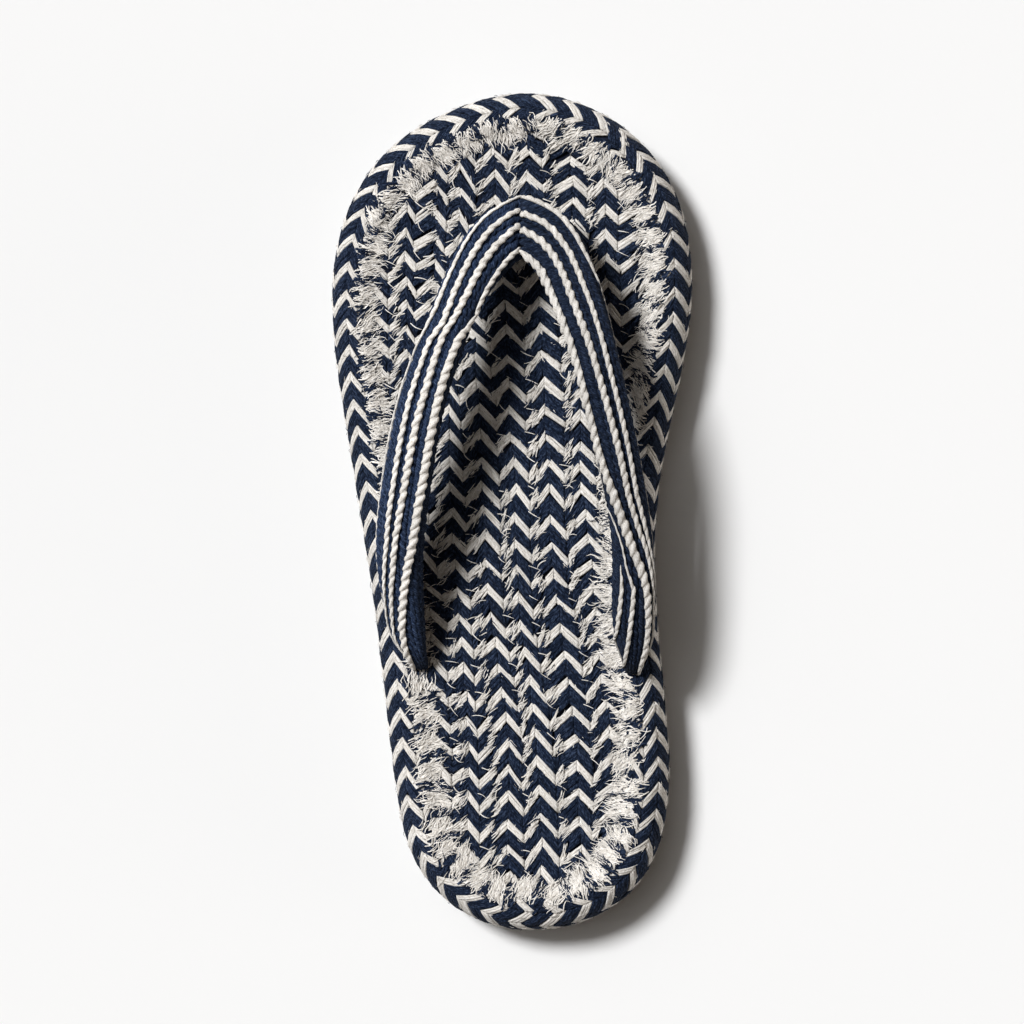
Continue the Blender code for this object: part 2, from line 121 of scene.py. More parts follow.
# Mat: its braids from the outer side of the foot to the inner. Each has the y of its
# apexes at some rows, counted from the toe, then what its zigzag is like at some y: y, the x
# of its start, apex, valley and end, how far below the apex its start and its valley lie,
# and how far its end rises again from the valley
BRAIDS = (
    (((0, 91.2), (5, 53.5), (22, -82)), (  # third outer
        (60, -46.5, -42.3, -37.2, -34.8, 3.5, 5.4, 2.4),
        (11.5, -46, -42, -37, -34.4, 3.5, 5.4, 2.4),
        (-37, -40, -36, -32, -30, 3.5, 5, 2.4),
        (-95, -36, -33, -29, -27, 3.5, 5, 2.4),
    )),
    (((0, 92.4), (4, 63.6), (12, 2.2), (16, -29.8), (23, -84)), (  # second outer
        (107, -34.7, -31.7, -29, -23.6, 3.4, 4.6, 4.3),
        (69, -34.7, -32, -29, -23.6, 3.4, 4.6, 4.3),
        (11.5, -34.4, -30.5, -26.5, -22.2, 3.4, 4.6, 4.3),
        (-31, -29, -24.5, -18.9, -16.8, 4, 5.2, 2.4),
        (-49, -28.5, -24, -19, -16.7, 4, 5.2, 2.4),
        (-69, -27.5, -23.3, -17.8, -14.6, 4, 5.2, 2.4),
        (-95, -27, -23, -17.5, -14.2, 4, 5.2, 2.4),
    )),
    (((-1, 106), (0, 99), (1, 91.6), (2, 83.4), (10, 23.7), (25, -94.4)), (  # first outer
        (90, -23.5, -23, -19.3, -17.4, 0.3, 5.2, 2),
        (60, -23.5, -22.6, -18.9, -16.6, 0.6, 5.2, 2.2),
        (36, -22.6, -18.6, -14.8, -12.6, 3.6, 5, 3),
        (11.5, -22.2, -18.1, -13.7, -11.4, 4.2, 5, 3.2),
        (-14, -20.9, -16.6, -12.9, -10.1, 4.2, 4.6, 3.3),
        (-31, -17.6, -15.4, -11.7, -8.8, 3, 4.3, 3.6),
        (-49, -16.7, -13.9, -10.8, -7.6, 3, 4.3, 4.2),
        (-69, -14.6, -12.6, -9.6, -5.6, 2.6, 4.1, 4.9),
        (-95, -14.8, -12.9, -9.3, -5.3, 2.6, 4.8, 4.5),
    )),
    (((0, 105.2), (1, 97.7), (2, 90.2), (7, 54.8), (16, -15), (27, -101.6)), (  # outer middle
        (107, -17.5, -15.4, -10, -9.6, 2, 8, 0.4),
        (90, -17.5, -15.7, -11.4, -9.9, 2, 5.4, 1.2),
        (60, -15.6, -12.6, -7.6, -6.2, 3, 5.4, 2),
        (36, -12.6, -9.8, -4.2, -2.8, 3.4, 5.8, 3),
        (11.5, -11.2, -9, -3.1, -1.8, 3.5, 5.8, 3),
        (-14, -9.8, -7.2, -2.6, -0.8, 3.8, 5, 3.3),
        (-31, -8.5, -6, -1.1, 1.2, 3.6, 5.2, 2.6),
        (-49, -7.3, -2.6, 1.6, 3.6, 4.2, 4.9, 3),
        (-69, -5, -0.5, 3.9, 5.3, 5.2, 5.4, 3),
        (-95, -4.7, -0.5, 4.3, 7, 4.3, 5.2, 3.8),
    )),
    (((0, 109.6), (2, 95), (6, 63.4), (16, -17.2), (26, -100.2)), (  # middle
        (107, -9.7, -5.1, -0.4, 1.8, 4.3, 5.1, 3.6),
        (90, -9.7, -4.8, 0.1, 2.2, 4.3, 5.1, 3.6),
        (69, -6, -2, 3.3, 5.2, 4.3, 5, 3.2),
        (36, -3.6, -0.7, 5.2, 7, 4.3, 5.4, 3.2),
        (11.5, -1.7, 1.4, 6, 7.7, 4.4, 5.2, 3.2),
        (-14, -0.8, 1.5, 6.5, 8.7, 4.3, 5.7, 3.6),
        (-31, 0.8, 2.8, 7.4, 9.8, 4, 5.7, 3.2),
        (-49, 3.5, 5.8, 10.7, 12.6, 3.6, 6, 3.2),
        (-69, 5.1, 7.8, 13.4, 14.9, 3.8, 6.4, 3.3),
        (-95, 7, 9.5, 14.9, 16.7, 4.4, 6.1, 3.4),
    )),
    (((0, 109.4), (1, 102.4), (6, 64.4), (16, -18.2), (26, -101.4)), (  # inner middle
        (107, 1.8, 5.2, 9.8, 11.9, 4, 4, 2.6),
        (90, 2.2, 6, 10.8, 13.4, 4, 4.4, 2.8),
        (69, 5.2, 8.6, 14, 16.2, 4.2, 4.8, 3),
        (36, 7.2, 10.7, 16.7, 18.4, 4.6, 5, 2.8),
        (11.5, 7.9, 11.3, 16.6, 18, 4.9, 5, 2.8),
        (-14, 9, 12.8, 17.7, 19.4, 4.3, 5, 3.2),
        (-49, 12.7, 17.1, 23.1, 24.7, 4.5, 5.2, 2.6),
        (-69, 15, 20.1, 25.2, 26.3, 4.2, 5.3, 1.6),
        (-95, 16.8, 21.2, 25.2, 26.3, 4.3, 5, 1.6),
    )),
    (((0, 107.6), (2, 94.8), (11, 28.6), (19, -30), (22, -49.8), (28, -98.6)), (  # first inner
        (107, 11.9, 18.4, 23.3, 24.6, 4.2, 4.4, 1.4),
        (69, 16.2, 20.4, 24.7, 25.9, 4.2, 4.6, 1.8),
        (11.5, 18, 21.3, 26.5, 28.2, 4.6, 5, 2.4),
        (-14, 19.6, 24.6, 28.9, 30, 4.6, 4.8, 2),
        (-49, 24.7, 27.7, 33.1, 34.4, 4.4, 4.9, 2),
        (-69, 26.4, 30.7, 35, 36.3, 4.5, 4.6, 2),
        (-95, 26.4, 30.7, 34.6, 36.3, 4.5, 4.6, 2),
    )),
    (((0, 99.6), (4, 69.6), (22, -75)), (  # second inner
        (107, 24.6, 28.3, 32.2, 38.8, 4.2, 4.3, 5),
        (69, 25.9, 29.5, 33.7, 38.4, 4.2, 4.3, 4.2),
        (11.5, 28.3, 32.2, 36.4, 40, 4.2, 4.4, 3.4),
        (-37, 32.6, 36, 40.2, 43, 4.2, 4.4, 3),
        (-95, 36.3, 40, 44, 47, 4.2, 4.4, 3),
    )),
    (((0, 94), (2, 79), (20, -62)), (  # third inner
        (107, 38.8, 42, 46, 49, 4, 4.4, 3),
        (11.5, 40, 44, 48, 51, 4, 4.4, 3),
        (-95, 47, 50, 54, 57, 4, 4.4, 3),
    )),
)
MAT_CREAM = 3.3  # a cream bundle's width along y
MAT_CROWN = 0.5  # how much lower a braid's sides lie than its middle
MAT_EDGE_INSET = 11.0  # how near the edge the mat's legs reach, under the fringe
MAT_CORE_DEPTH, MAT_SKIN = 1.2, 2.5  # how deep its core lies, and what of its solid sinks there
MAT_STRANDS, MAT_STRAYS = 3, 4  # in a bundle, and fine fibres that stray off it
MAT_OVERLAP = 0.5  # how much wider a navy bundle is than the gap that it fills
MAT_LOOSENESS = (20, 60), (0.26, 0.42)  # how far its creases stray: y, mm
# Its bundles: colour, share of a row they lie on, depth of crease and of its painted shade,
# fibres at a frayed end
MAT_KINDS = ((CREAM, 0.0, 0.5, 6), (NAVY, 0.5, 0.2, 2))
# How unevenly the strands of a zigzag's three legs start and end, as shares of their run
MAT_RAGGED = ((0.14, 0.0), (0.0, 0.0), (0.0, 0.18))
# Frayed ends and stitches between the braids: lengths, thicknesses, and spread in radians
FRAYED, STITCHED = ((2.2, 4.0), (0.12, 0.22), 0.2), ((3.0, 4.6), (0.12, 0.18), 0.22)
# The stitches' share of the rows, their place from a last leg's start, and their way
STITCH_SHARE, STITCH_AT, STITCH_WAY = 0.85, (-3.0, 2.0), (-0.5, 0.87)

# The cloth under the sole: its pitch and how far it is laid, the height of its yarns and of
# their wave, how far it turns up past the wall, and places round a yarn's section
WEAVE_PITCH, WEAVE_REACH = 4.2, 130.0
WEAVE_HEIGHT, WEAVE_WAVE, WEAVE_TURNUP = 0.95, 0.3, 2.2
SOLE_CORE_LOW = 1.1  # the lowest that the core over it reaches
YARN_SECTION = ((-1.932, 0.12), (0, 0.42), (1.932, 0.12), (0.966, -0.38), (-0.966, -0.38))

# Strap arms, as in the solids, with the tongues' first stretch added: the x, y and z of
# the outer edge, those of the inner edge, and the thickness
OUTER_ARM = (
    (4.1, 95, 32.4, 4.1, 76.5, 34.4, 8.2),  # seam
    (-7, 88.7, 33.8, 0.4, 72.8, 37, 9),  # toe bend
    (-16, 75.5, 38.6, -6.4, 63.5, 42, 9),  # toe side
    (-24.4, 53, 44.4, -13.4, 46.5, 47.8, 9),  # front slope
    (-30.4, 36, 45.2, -18, 31.5, 48.6, 9),  # crest
    (-36, 11, 43.4, -22.2, 8, 46.8, 9),  # instep
    (-38.7, -13, 37.2, -25, -12, 41, 8.8),  # outermost
    (-36.6, -30, 31, -25.4, -27.4, 34.6, 8.2),  # lower bend
    (-34, -38.6, 27.8, -25.2, -36.4, 30.6, 6.8),  # foot
    (-30, -44, 24.8, -25, -43.2, 25.8, 4.6),  # slot
    (-29.4, -46.4, 19.4, -24.8, -46, 19.8, 4.4),  # tongue
)
INNER_ARM = (
    (4.1, 95, 32.4, 4.1, 76.5, 34.4, 8.2),  # seam
    (15.4, 89.8, 33.8, 8.6, 72, 37, 9),  # toe bend
    (24.4, 76.2, 38.4, 14, 61.5, 41.8, 9),  # toe side
    (31, 55, 44, 20, 46, 47.4, 9),  # front slope
    (35.2, 37.5, 44.2, 24, 31, 47.6, 9),  # crest
    (40.8, 11, 40.8, 29.4, 8.5, 44, 9.4),  # instep
    (43.8, -14, 35, 32, -13.5, 38.2, 9.4),  # outermost
    (43.4, -30.5, 31.2, 31.6, -30, 34.6, 8.2),  # lower bend
    (42.4, -39.4, 27.8, 32.6, -39, 30.6, 6.8),  # foot
    (39.6, -45.2, 24.8, 34.6, -45.4, 25.8, 4.6),  # slot
    (39, -47.6, 19.4, 34.4, -47.6, 19.8, 4.4),  # tongue
)
ARM_STATIONS = 300
ARM_SQUARENESS = 2.6
# The cream cords that lie on an arm, each a chain of slanting grains: how far a grain slants
# as a share of the cord's half width, then along the arm (0 at the toe seam to 1): how far
# across the arm it is (0 outer edge, 1 inner edge), and its width
OUTER_CORDS = (
    (0.35, (  # edge
        (0, 0.02, 1.4), (0.05, 0.06, 1.6), (0.1, 0.1, 1.4), (0.2, 0.135, 1.8), (0.26, 0.165, 2.1),
        (0.3, 0.11, 1.4), (0.34, 0.02, 1.2), (0.6, 0, 1.2), (0.85, -0.02, 0.8), (1, 0.03, 0.6),
    )),
    (0.6, (  # outer
        (0, 0.235, 1.9), (0.05, 0.3, 2.2), (0.1, 0.345, 2.4), (0.2, 0.4, 2.4), (0.27, 0.465, 2.4),
        (0.315, 0.325, 2.2), (0.5, 0.325, 2.4), (0.6, 0.325, 2.2), (0.7, 0.31, 2),
        (0.75, 0.24, 1.7), (0.8, 0.15, 1.4), (0.86, 0.065, 0.9), (1, 0.03, 0.5),
    )),
    (0.66, (  # middle
        (0, 0.485, 2.4), (0.05, 0.58, 2.5), (0.1, 0.615, 2.7), (0.2, 0.685, 2.7),
        (0.25, 0.67, 2.5), (0.29, 0.58, 2.5), (0.33, 0.585, 2.8), (0.4, 0.615, 3),
        (0.5, 0.585, 3), (0.6, 0.565, 2.8), (0.66, 0.53, 2.7), (0.7, 0.49, 2.5),
        (0.75, 0.44, 2.4), (0.8, 0.33, 2), (0.87, 0.21, 1.3), (0.92, 0.115, 1), (1, 0.08, 0.5),
    )),
    (0.7, (  # thick
        (0, 0.875, 2.2), (0.05, 0.895, 2.1), (0.15, 0.955, 2.1), (0.21, 1, 2.2),
        (0.25, 0.97, 2.7), (0.28, 0.905, 3.2), (0.35, 0.895, 3.4), (0.45, 0.91, 3.5),
        (0.55, 0.9, 3.4), (0.65, 0.87, 3.4), (0.7, 0.85, 3.4), (0.75, 0.76, 3.2),
        (0.8, 0.645, 3.1), (0.85, 0.53, 3), (0.9, 0.41, 2.7), (0.93, 0.27, 2.6),
        (0.96, 0.125, 2.3), (1, 0.06, 2.1),
    )),
)
INNER_CORDS = (
    (0.35, (  # edge
        (0, 0.04, 2), (0.05, 0.06, 2.4), (0.1, 0.075, 2.3), (0.15, 0.06, 1.9), (0.22, 0, 1.2),
        (0.35, -0.045, 0.8), (1, -0.03, 0.6),
    )),
    (0.6, (  # outer
        (0, 0.32, 2.7), (0.05, 0.32, 2.7), (0.1, 0.33, 2.7), (0.15, 0.3, 2.4), (0.25, 0.305, 2),
        (0.35, 0.35, 2), (0.5, 0.33, 1.9), (0.6, 0.33, 1.9), (0.65, 0.255, 1.7),
        (0.7, 0.165, 1.4), (0.74, 0.09, 1.2), (0.78, 0.015, 0.8), (1, 0.01, 0.5),
    )),
    (0.66, (  # middle
        (0, 0.58, 2.8), (0.05, 0.595, 2.9), (0.1, 0.59, 2.9), (0.15, 0.58, 2.8),
        (0.25, 0.625, 2.8), (0.35, 0.63, 2.6), (0.45, 0.595, 2.6), (0.55, 0.555, 2.5),
        (0.6, 0.535, 2.3), (0.63, 0.485, 2.2), (0.67, 0.395, 2), (0.71, 0.25, 1.7),
        (0.76, 0.13, 1.4), (0.8, 0.06, 0.9), (1, 0.05, 0.5),
    )),
    (0.66, (  # thick
        (0, 0.935, 3.4), (0.05, 0.93, 3.4), (0.1, 0.915, 3.7), (0.3, 0.965, 3.8),
        (0.4, 0.975, 3.6), (0.5, 0.97, 3.9), (0.55, 0.94, 3.5), (0.6, 0.865, 3.8),
        (0.65, 0.77, 3.5), (0.7, 0.62, 3.5), (0.72, 0.545, 3.4), (0.75, 0.41, 3.4),
        (0.77, 0.315, 3.1), (0.8, 0.235, 2.9), (0.85, 0.19, 2.6), (0.9, 0.215, 2.4),
        (0.93, 0.18, 2.3), (0.97, 0.105, 2), (1, 0.07, 1.8),
    )),
    (0.5, (  # first side
        (0, 1.2, 0), (0.62, 1.03, 0.4), (0.65, 0.955, 0.8), (0.7, 0.835, 0.8), (0.75, 0.745, 0.8),
        (0.775, 0.65, 1.1), (0.79, 0.57, 1.7), (0.83, 0.595, 1.8), (0.87, 0.655, 1.8),
        (0.9, 0.715, 1.8), (0.93, 0.835, 1.7), (0.96, 0.985, 1.3), (1, 1.05, 0.7),
    )),
    (0.5, (  # second side
        (0, 1.25, 0), (0.755, 0.87, 0.2), (0.765, 0.855, 1), (0.79, 0.84, 1.7), (0.83, 0.87, 1.8),
        (0.87, 0.93, 1.8), (0.9, 1.005, 1.7), (0.92, 1.08, 1.3), (1, 1.13, 0.6),
    )),
)
GRAIN_PERIOD, GRAIN_LENGTH = 3.35, 5.025  # along a cream cord, so that grains overlap
CREAM_RISE = 0.34  # of a cream cord's line over an arm's surface
SIDE_CORDS = 18  # navy cords round an arm, under the cream ones
SIDE_PITCH = 6.0  # of their twist
SIDE_WIDTH, SIDE_DEPTH = 1.22, 0.72  # their width and depth, as shares of room and of radius
PADDING_DEPTH = 0.9  # of the padded core under an arm's surface
# How far an arm lies below its solid: at the toe seam, the share of its length that this
# takes, and round HANG, the share along it and the share that it takes
OUTER_DIP, INNER_DIP = (3.2, 0.03, 0.0), (3.0, 0.014, 2.2)
HANG = (0.66, 0.15)
# The cords' painted light and shade: the outer arm, on the lamp's side, is painted lighter
# and the inner arm darker. The cream ones, and the navy ones on the two sides of an arm:
# over its outer side and top, and down its inner side and under it
OUTER_PAINTED_LIGHT, INNER_PAINTED_SHADE = (1.06, 2.5, 1.35), (0.69, 0.8, 0.8)

# Fringe: how its tufts lean forward, and how broad it is. mm along the edge, degrees or share
FRINGE_LEAN = ((0, 0), (320, 0), (350, 22), (440, 20), (480, 0), (632, 0))
FRINGE_BREADTH = (
    (0, 1), (125, 1), (150, 1.4), (195, 1.4), (220, 1.15), (235, 1.35), (285, 1.35), (300, 1.1),
    (330, 1.35), (440, 1.35), (480, 1), (632, 1),
)
# Its fibres: colour, whether they lie in tufts or in the gaps between, how many in each, inset
# and its spread, width along the edge, lengths, thickness and the share of it upward, height
FRINGE_FIBRES = (
    (CREAM, "tufts", 13, 11.6, 1.5, 5.8, (3.2, 5.8), (0.19, 0.3), 0.5, (0.0, 0.3)),
    (CREAM, "tufts", 54, 11.7, 2.0, 6.4, (2.2, 5.6), (0.1, 0.18), 0.9, (0.1, 0.7)),
    (CREAM, "gaps", 18, 12.6, 1.9, 5.0, (2.2, 4.8), (0.1, 0.18), 0.9, (0.1, 0.6)),
    (NAVY, "gaps", 9, 10.6, 1.4, 3.6, (3.0, 4.6), (0.3, 0.5), 0.6, (0.0, 0.4)),
    (NAVY, "gaps", 10, 11.8, 1.9, 4.6, (1.8, 4.2), (0.12, 0.2), 1.0, (0.2, 0.7)),
)
FIBRE_STATIONS = 6
# A fibre's thickness along it, and the painted shade of its three sides: darker below,
# lighter on the two upper sides
FIBRE_TAPER = (0, 0.15, 0.7, 1), (0.8, 1.0, 0.85, 0.25)
FIBRE_PAINTED_SHADES = (0.75, 1.1, 1.1)

# A strand of a bundle: share of its half width and height round its section, and where it
# sags along its run, towards the creases, with the painted shade that darkens it there;
# then the painted shade round its section, darker at its sides and darkest underneath
STRAND_SECTION = np.array([(-1, -0.28), (-0.5, -0.04), (0.5, -0.04), (1, -0.28), (0, -1.5)])
STRAND_STATIONS = np.array([0, 0.14, 0.5, 0.86, 1])
SAG_AT, SAG = (0, 0.1, 0.5, 0.9, 1), (-0.36, -0.08, 0.06, -0.08, -0.36)
SAG_PAINTED_SHADES = (0.6, 0.95, 1, 0.95, 0.6)
SECTION_PAINTED_SHADES = np.array([0.8, 1, 1, 0.8, 0.4])

# Camera
CAMERA_AT = Vector((62.8, 1.8, 1111.0)) * MM
CAMERA_LOOK = Vector((0.0, 0.0, 11.0)) * MM
FRAME_WIDTH = 1024 / 3.27 * MM  # how much of the sole's level the frame is wide

# Light: name, strength, the angle it is wide, the way it shines and its colour
FROM_THE_LEFT, FROM_THE_RIGHT = (0.565, -0.485, -1.0), (-1.0, 0.1, -0.12)
DAYLIGHT, WARM = (0.985, 0.99, 1.0), (1.0, 0.9, 0.8)
LAMPS = (
    ("sun", 3.54, 14.5, FROM_THE_LEFT, DAYLIGHT),
    ("haze", 0.15, 34, FROM_THE_LEFT, DAYLIGHT),
    ("glow", 0.42, 62, FROM_THE_LEFT, DAYLIGHT),
    ("bounce", 0.5, 30, FROM_THE_RIGHT, WARM),
)
WORLD_COLOUR, WORLD_STRENGTH = (1.0, 0.83, 0.67, 1.0), 0.05
FLOOR_HALF, FLOOR_Z = 3.0, -0.00005  # in metres
FLOOR_COLOUR = (0.86, 0.86, 0.855, 1)

# Colours of the cotton: dark, middle and light, then sheen and the strength of its relief
COTTON = {
    CREAM: ("cream_cotton",
            ((0.60, 0.555, 0.49), (0.86, 0.82, 0.765), (0.95, 0.925, 0.89)), 0.05, 0.8),
    NAVY: ("navy_cotton",
           ((0.002, 0.005, 0.013), (0.008, 0.015, 0.035), (0.043, 0.064, 0.116)), 0.02, 0.9),
    # the cores: the slipper's navy inner body, painted dark as the shade in the gaps over it
    "shadow": ("inner_cotton_painted_shade",
               ((0.012, 0.016, 0.035), (0.02, 0.026, 0.05), (0.05, 0.055, 0.08)), 0.05, 0.5),
}


# Curves and heights


def unit(vectors):
    """The vectors at a length of 1."""
    return vectors / np.maximum(np.linalg.norm(vectors, axis=-1, keepdims=True), 1e-6)


def walked_along(points):
    """How far along the line through them all each point lies."""
    return np.concatenate([[0.0], np.cumsum(np.linalg.norm(np.diff(points, axis=0), axis=1))])


def read_off(place, walked, values):
    """Rows of values at a place, from the rows that lie at the places walked."""
    return np.stack([np.interp(place, walked, column) for column in values.T], axis=-1)


def looked_up(table, place):
    """A table's second column at a place among those in its first."""
    return np.interp(place, *np.array(table, float).T)


def eased(share):
    return share * share * (3 - 2 * share)


def round_ring(count):
    """Angles evenly round a ring."""
    return 2 * math.pi * np.arange(count) / count


def headings(turn):
    """Unit vectors in the plane at turns, and those to their left."""
    along = np.stack([np.cos(turn), np.sin(turn)], axis=1)
    return along, along[:, ::-1] * [-1, 1]


def offset(places, along, aside, forward, sideways):
    """For each place, a row of points that lie forward and sideways of it."""
    return (places[..., None, :] + along[..., None, :] * forward[..., None]
            + aside[..., None, :] * sideways[..., None])


def at_height(places, z):
    return np.concatenate([places, z[..., None]], axis=-1)


def cubic_through(points):
    """A function of shares 0 to 1 along a natural cubic through the points, by chord."""
    points = np.array(points, float)
    knots = walked_along(points)
    steps = np.diff(knots)
    count = len(points)
    matrix, right = np.eye(count), np.zeros(points.shape)
    slopes = np.diff(points, axis=0) / steps[:, None]
    for i in range(1, count - 1):
        matrix[i, i - 1 : i + 2] = steps[i - 1], 2 * (steps[i - 1] + steps[i]), steps[i]
        right[i] = 6 * (slopes[i] - slopes[i - 1])
    bends = np.linalg.solve(matrix, right)

    def at(shares):
        place = np.asarray(shares, float) * knots[-1]
        i = np.clip(np.searchsorted(knots, place, side="right") - 1, 0, count - 2)
        step = steps[i][:, None]
        near = (knots[i + 1] - place)[:, None] / step
        far = (place - knots[i])[:, None] / step
        curve = (near**3 - near) * bends[i] + (far**3 - far) * bends[i + 1]
        return near * points[i] + far * points[i + 1] + curve * step**2 / 6

    return at


def lift(y):
    """The sole's height off the floor at y, eased between the rows of LIFT."""
    rows = np.array(LIFT)
    y = np.clip(y, rows[0, 0], rows[-1, 0])
    i = np.clip(np.searchsorted(rows[:, 0], y, side="right") - 1, 0, len(rows) - 2)
    share = (y - rows[i, 0]) / (rows[i + 1, 0] - rows[i, 0])
    rise = np.where(i == 0, 1 - (1 - share) ** 2, eased(share))
    rise = np.where(i == len(rows) - 2, share**2, rise)
    return rows[i, 1] + (rows[i + 1, 1] - rows[i, 1]) * rise


class Outline:
    """The slipper's edge, walked clockwise by distance from the toe tip. It is read from
    the wall of the frame's base, which runs a fixed inset inside it."""

    DENSITY = 2400

    def __init__(self, sole):
        wall = self._wall(sole)
        count = len(wall)
        waves = np.fft.fft(wall) / count
        turns = np.fft.fftfreq(count, 1 / count)
        share = np.arange(self.DENSITY + 1) / self.DENSITY
        phases = np.exp(2j * np.pi * share[:, None] * turns)
        ahead = phases @ (waves * 2j * np.pi * turns)
        ahead /= np.abs(ahead)
        outer = phases @ waves + ahead * 1j * SOLE_WALL_INSET
        self.points = np.stack([outer.real, outer.imag], axis=1)
        self.along = np.stack([ahead.real, ahead.imag], axis=1)
        self.walked = walked_along(self.points)
        self.length = self.walked[-1]

    def _wall(self, sole):
        """The wall's lower corners as complex numbers, clockwise from the toe tip."""
        corners = set()
        for face in sole.data.polygons:
            if abs(face.normal.z) < 0.2:
                for v in face.vertices:
                    x, y, z = sole.data.vertices[v].co / MM
                    if z < 4 * SOLE_CHAMFER:
                        corners.add((round(x, 2), round(y, 2)))
        wall = np.array(sorted(corners, key=lambda c: math.atan2(c[0], c[1]) % (2 * math.pi)))
        return wall[:, 0] + 1j * wall[:, 1]

    def at(self, distance, inset):
        """Places at distances along the edge and insets from it."""
        place = read_off(np.mod(distance, self.length), self.walked, self.points)
        ax, ay = self.direction(distance)
        return place + np.stack([ay * inset, -ax * inset], axis=-1)

    def direction(self, distance):
        ahead = unit(read_off(np.mod(distance, self.length), self.walked, self.along))
        return ahead[..., 0], ahead[..., 1]

    def nearest(self, places):
        """The distance along the edge and the inset of each place."""
        found = []
        for some in np.array_split(places, len(places) // 4000 + 1):
            best = ((some[:, None] - self.points[:-1]) ** 2).sum(-1).argmin(1)
            gap = some - self.points[best]
            ax, ay = self.along[best].T
            found.append([self.walked[best], gap[:, 0] * ay - gap[:, 1] * ax])
        return np.concatenate(found, axis=1)


# Meshes


def thread_places(along, across, number):
    """Where each point lies along and across its thread, and the thread's number."""
    return np.stack(np.broadcast_arrays(along, across, number), axis=-1)


def add_object(name, data):
    made = bpy.data.objects.new(name, data)
    bpy.context.scene.collection.objects.link(made)
    return made


class Piece:
    """Collects tubes of points in millimetres, and builds one object."""

    def __init__(self, name, tone=1.0):
        self.name, self.tone = name, tone
        self.points, self.threads, self.shades = [], [], []
        self.corners, self.sizes = [], []
        self.count = 0

    def _add_faces(self, faces):
        self.corners.append(faces.reshape(-1))
        self.sizes.append(np.full(len(faces), faces.shape[1]))

    def add_tubes(self, points, threads, shades=1.0):
        """Closed tubes: points is tubes x stations x ring x 3. Their faces turn outward."""
        middles = points.mean(axis=(1, 2), keepdims=True)
        a, c = points[:, :-1] - middles, points[:, 1:] - middles
        b, d = np.roll(a, -1, axis=2), np.roll(c, -1, axis=2)
        volume = (a * (np.cross(b, d) + np.cross(d, c))).sum(axis=(1, 2, 3))
        shape = points.shape[:-1]
        index = self.count + np.arange(np.prod(shape)).reshape(shape)
        self.count += index.size
        self.points.append(points.reshape(-1, 3))
        self.threads.append(np.broadcast_to(threads, points.shape).reshape(-1, 3))
        self.shades.append(np.broadcast_to(shades, shape).reshape(-1))
        index = np.where((volume < 0)[:, None, None], index[:, :, ::-1], index)
        near, far = index[:, :-1], index[:, 1:]
        quads = [near, np.roll(near, -1, axis=2), np.roll(far, -1, axis=2), far]
        self._add_faces(np.stack(quads, axis=-1).reshape(-1, 4))
        self._add_faces(index[:, 0, ::-1])
        self._add_faces(index[:, -1])

    def build(self, material, slot, replaced=(), smooth=True):
        mesh = bpy.data.meshes.new(self.name)
        points = np.concatenate(self.points) * MM
        corners, sizes = np.concatenate(self.corners), np.concatenate(self.sizes)
        mesh.vertices.add(len(points))
        mesh.loops.add(len(corners))
        mesh.polygons.add(len(sizes))
        mesh.vertices.foreach_set("co", points.astype(np.float32).reshape(-1))
        mesh.loops.foreach_set("vertex_index", corners.astype(np.int32))
        for key, values in (("loop_start", np.cumsum(sizes) - sizes), ("loop_total", sizes)):
            mesh.polygons.foreach_set(key, values.astype(np.int32))
        shades = np.concatenate(self.shades) * self.tone
        for name, kind, key, values in (
            ("thread", "FLOAT_VECTOR", "vector", np.concatenate(self.threads)),
            ("shade", "FLOAT", "value", shades),
        ):
            layer = mesh.attributes.new(name, kind, "POINT")
            layer.data.foreach_set(key, values.astype(np.float32).reshape(-1))
        mesh.update(calc_edges=True)
        mesh.validate()
        if smooth:
            mesh.shade_smooth()
        else:
            mesh.shade_flat()
        mesh.materials.append(material)
        made = add_object(self.name, mesh)
        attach(made, "root")
        if replaced:
            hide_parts(*replaced)
        return made


def build_all(pieces, materials, slot, replaced, smooth=True):
    for colour, piece in pieces.items():
        piece.build(materials[colour], slot, replaced, smooth)


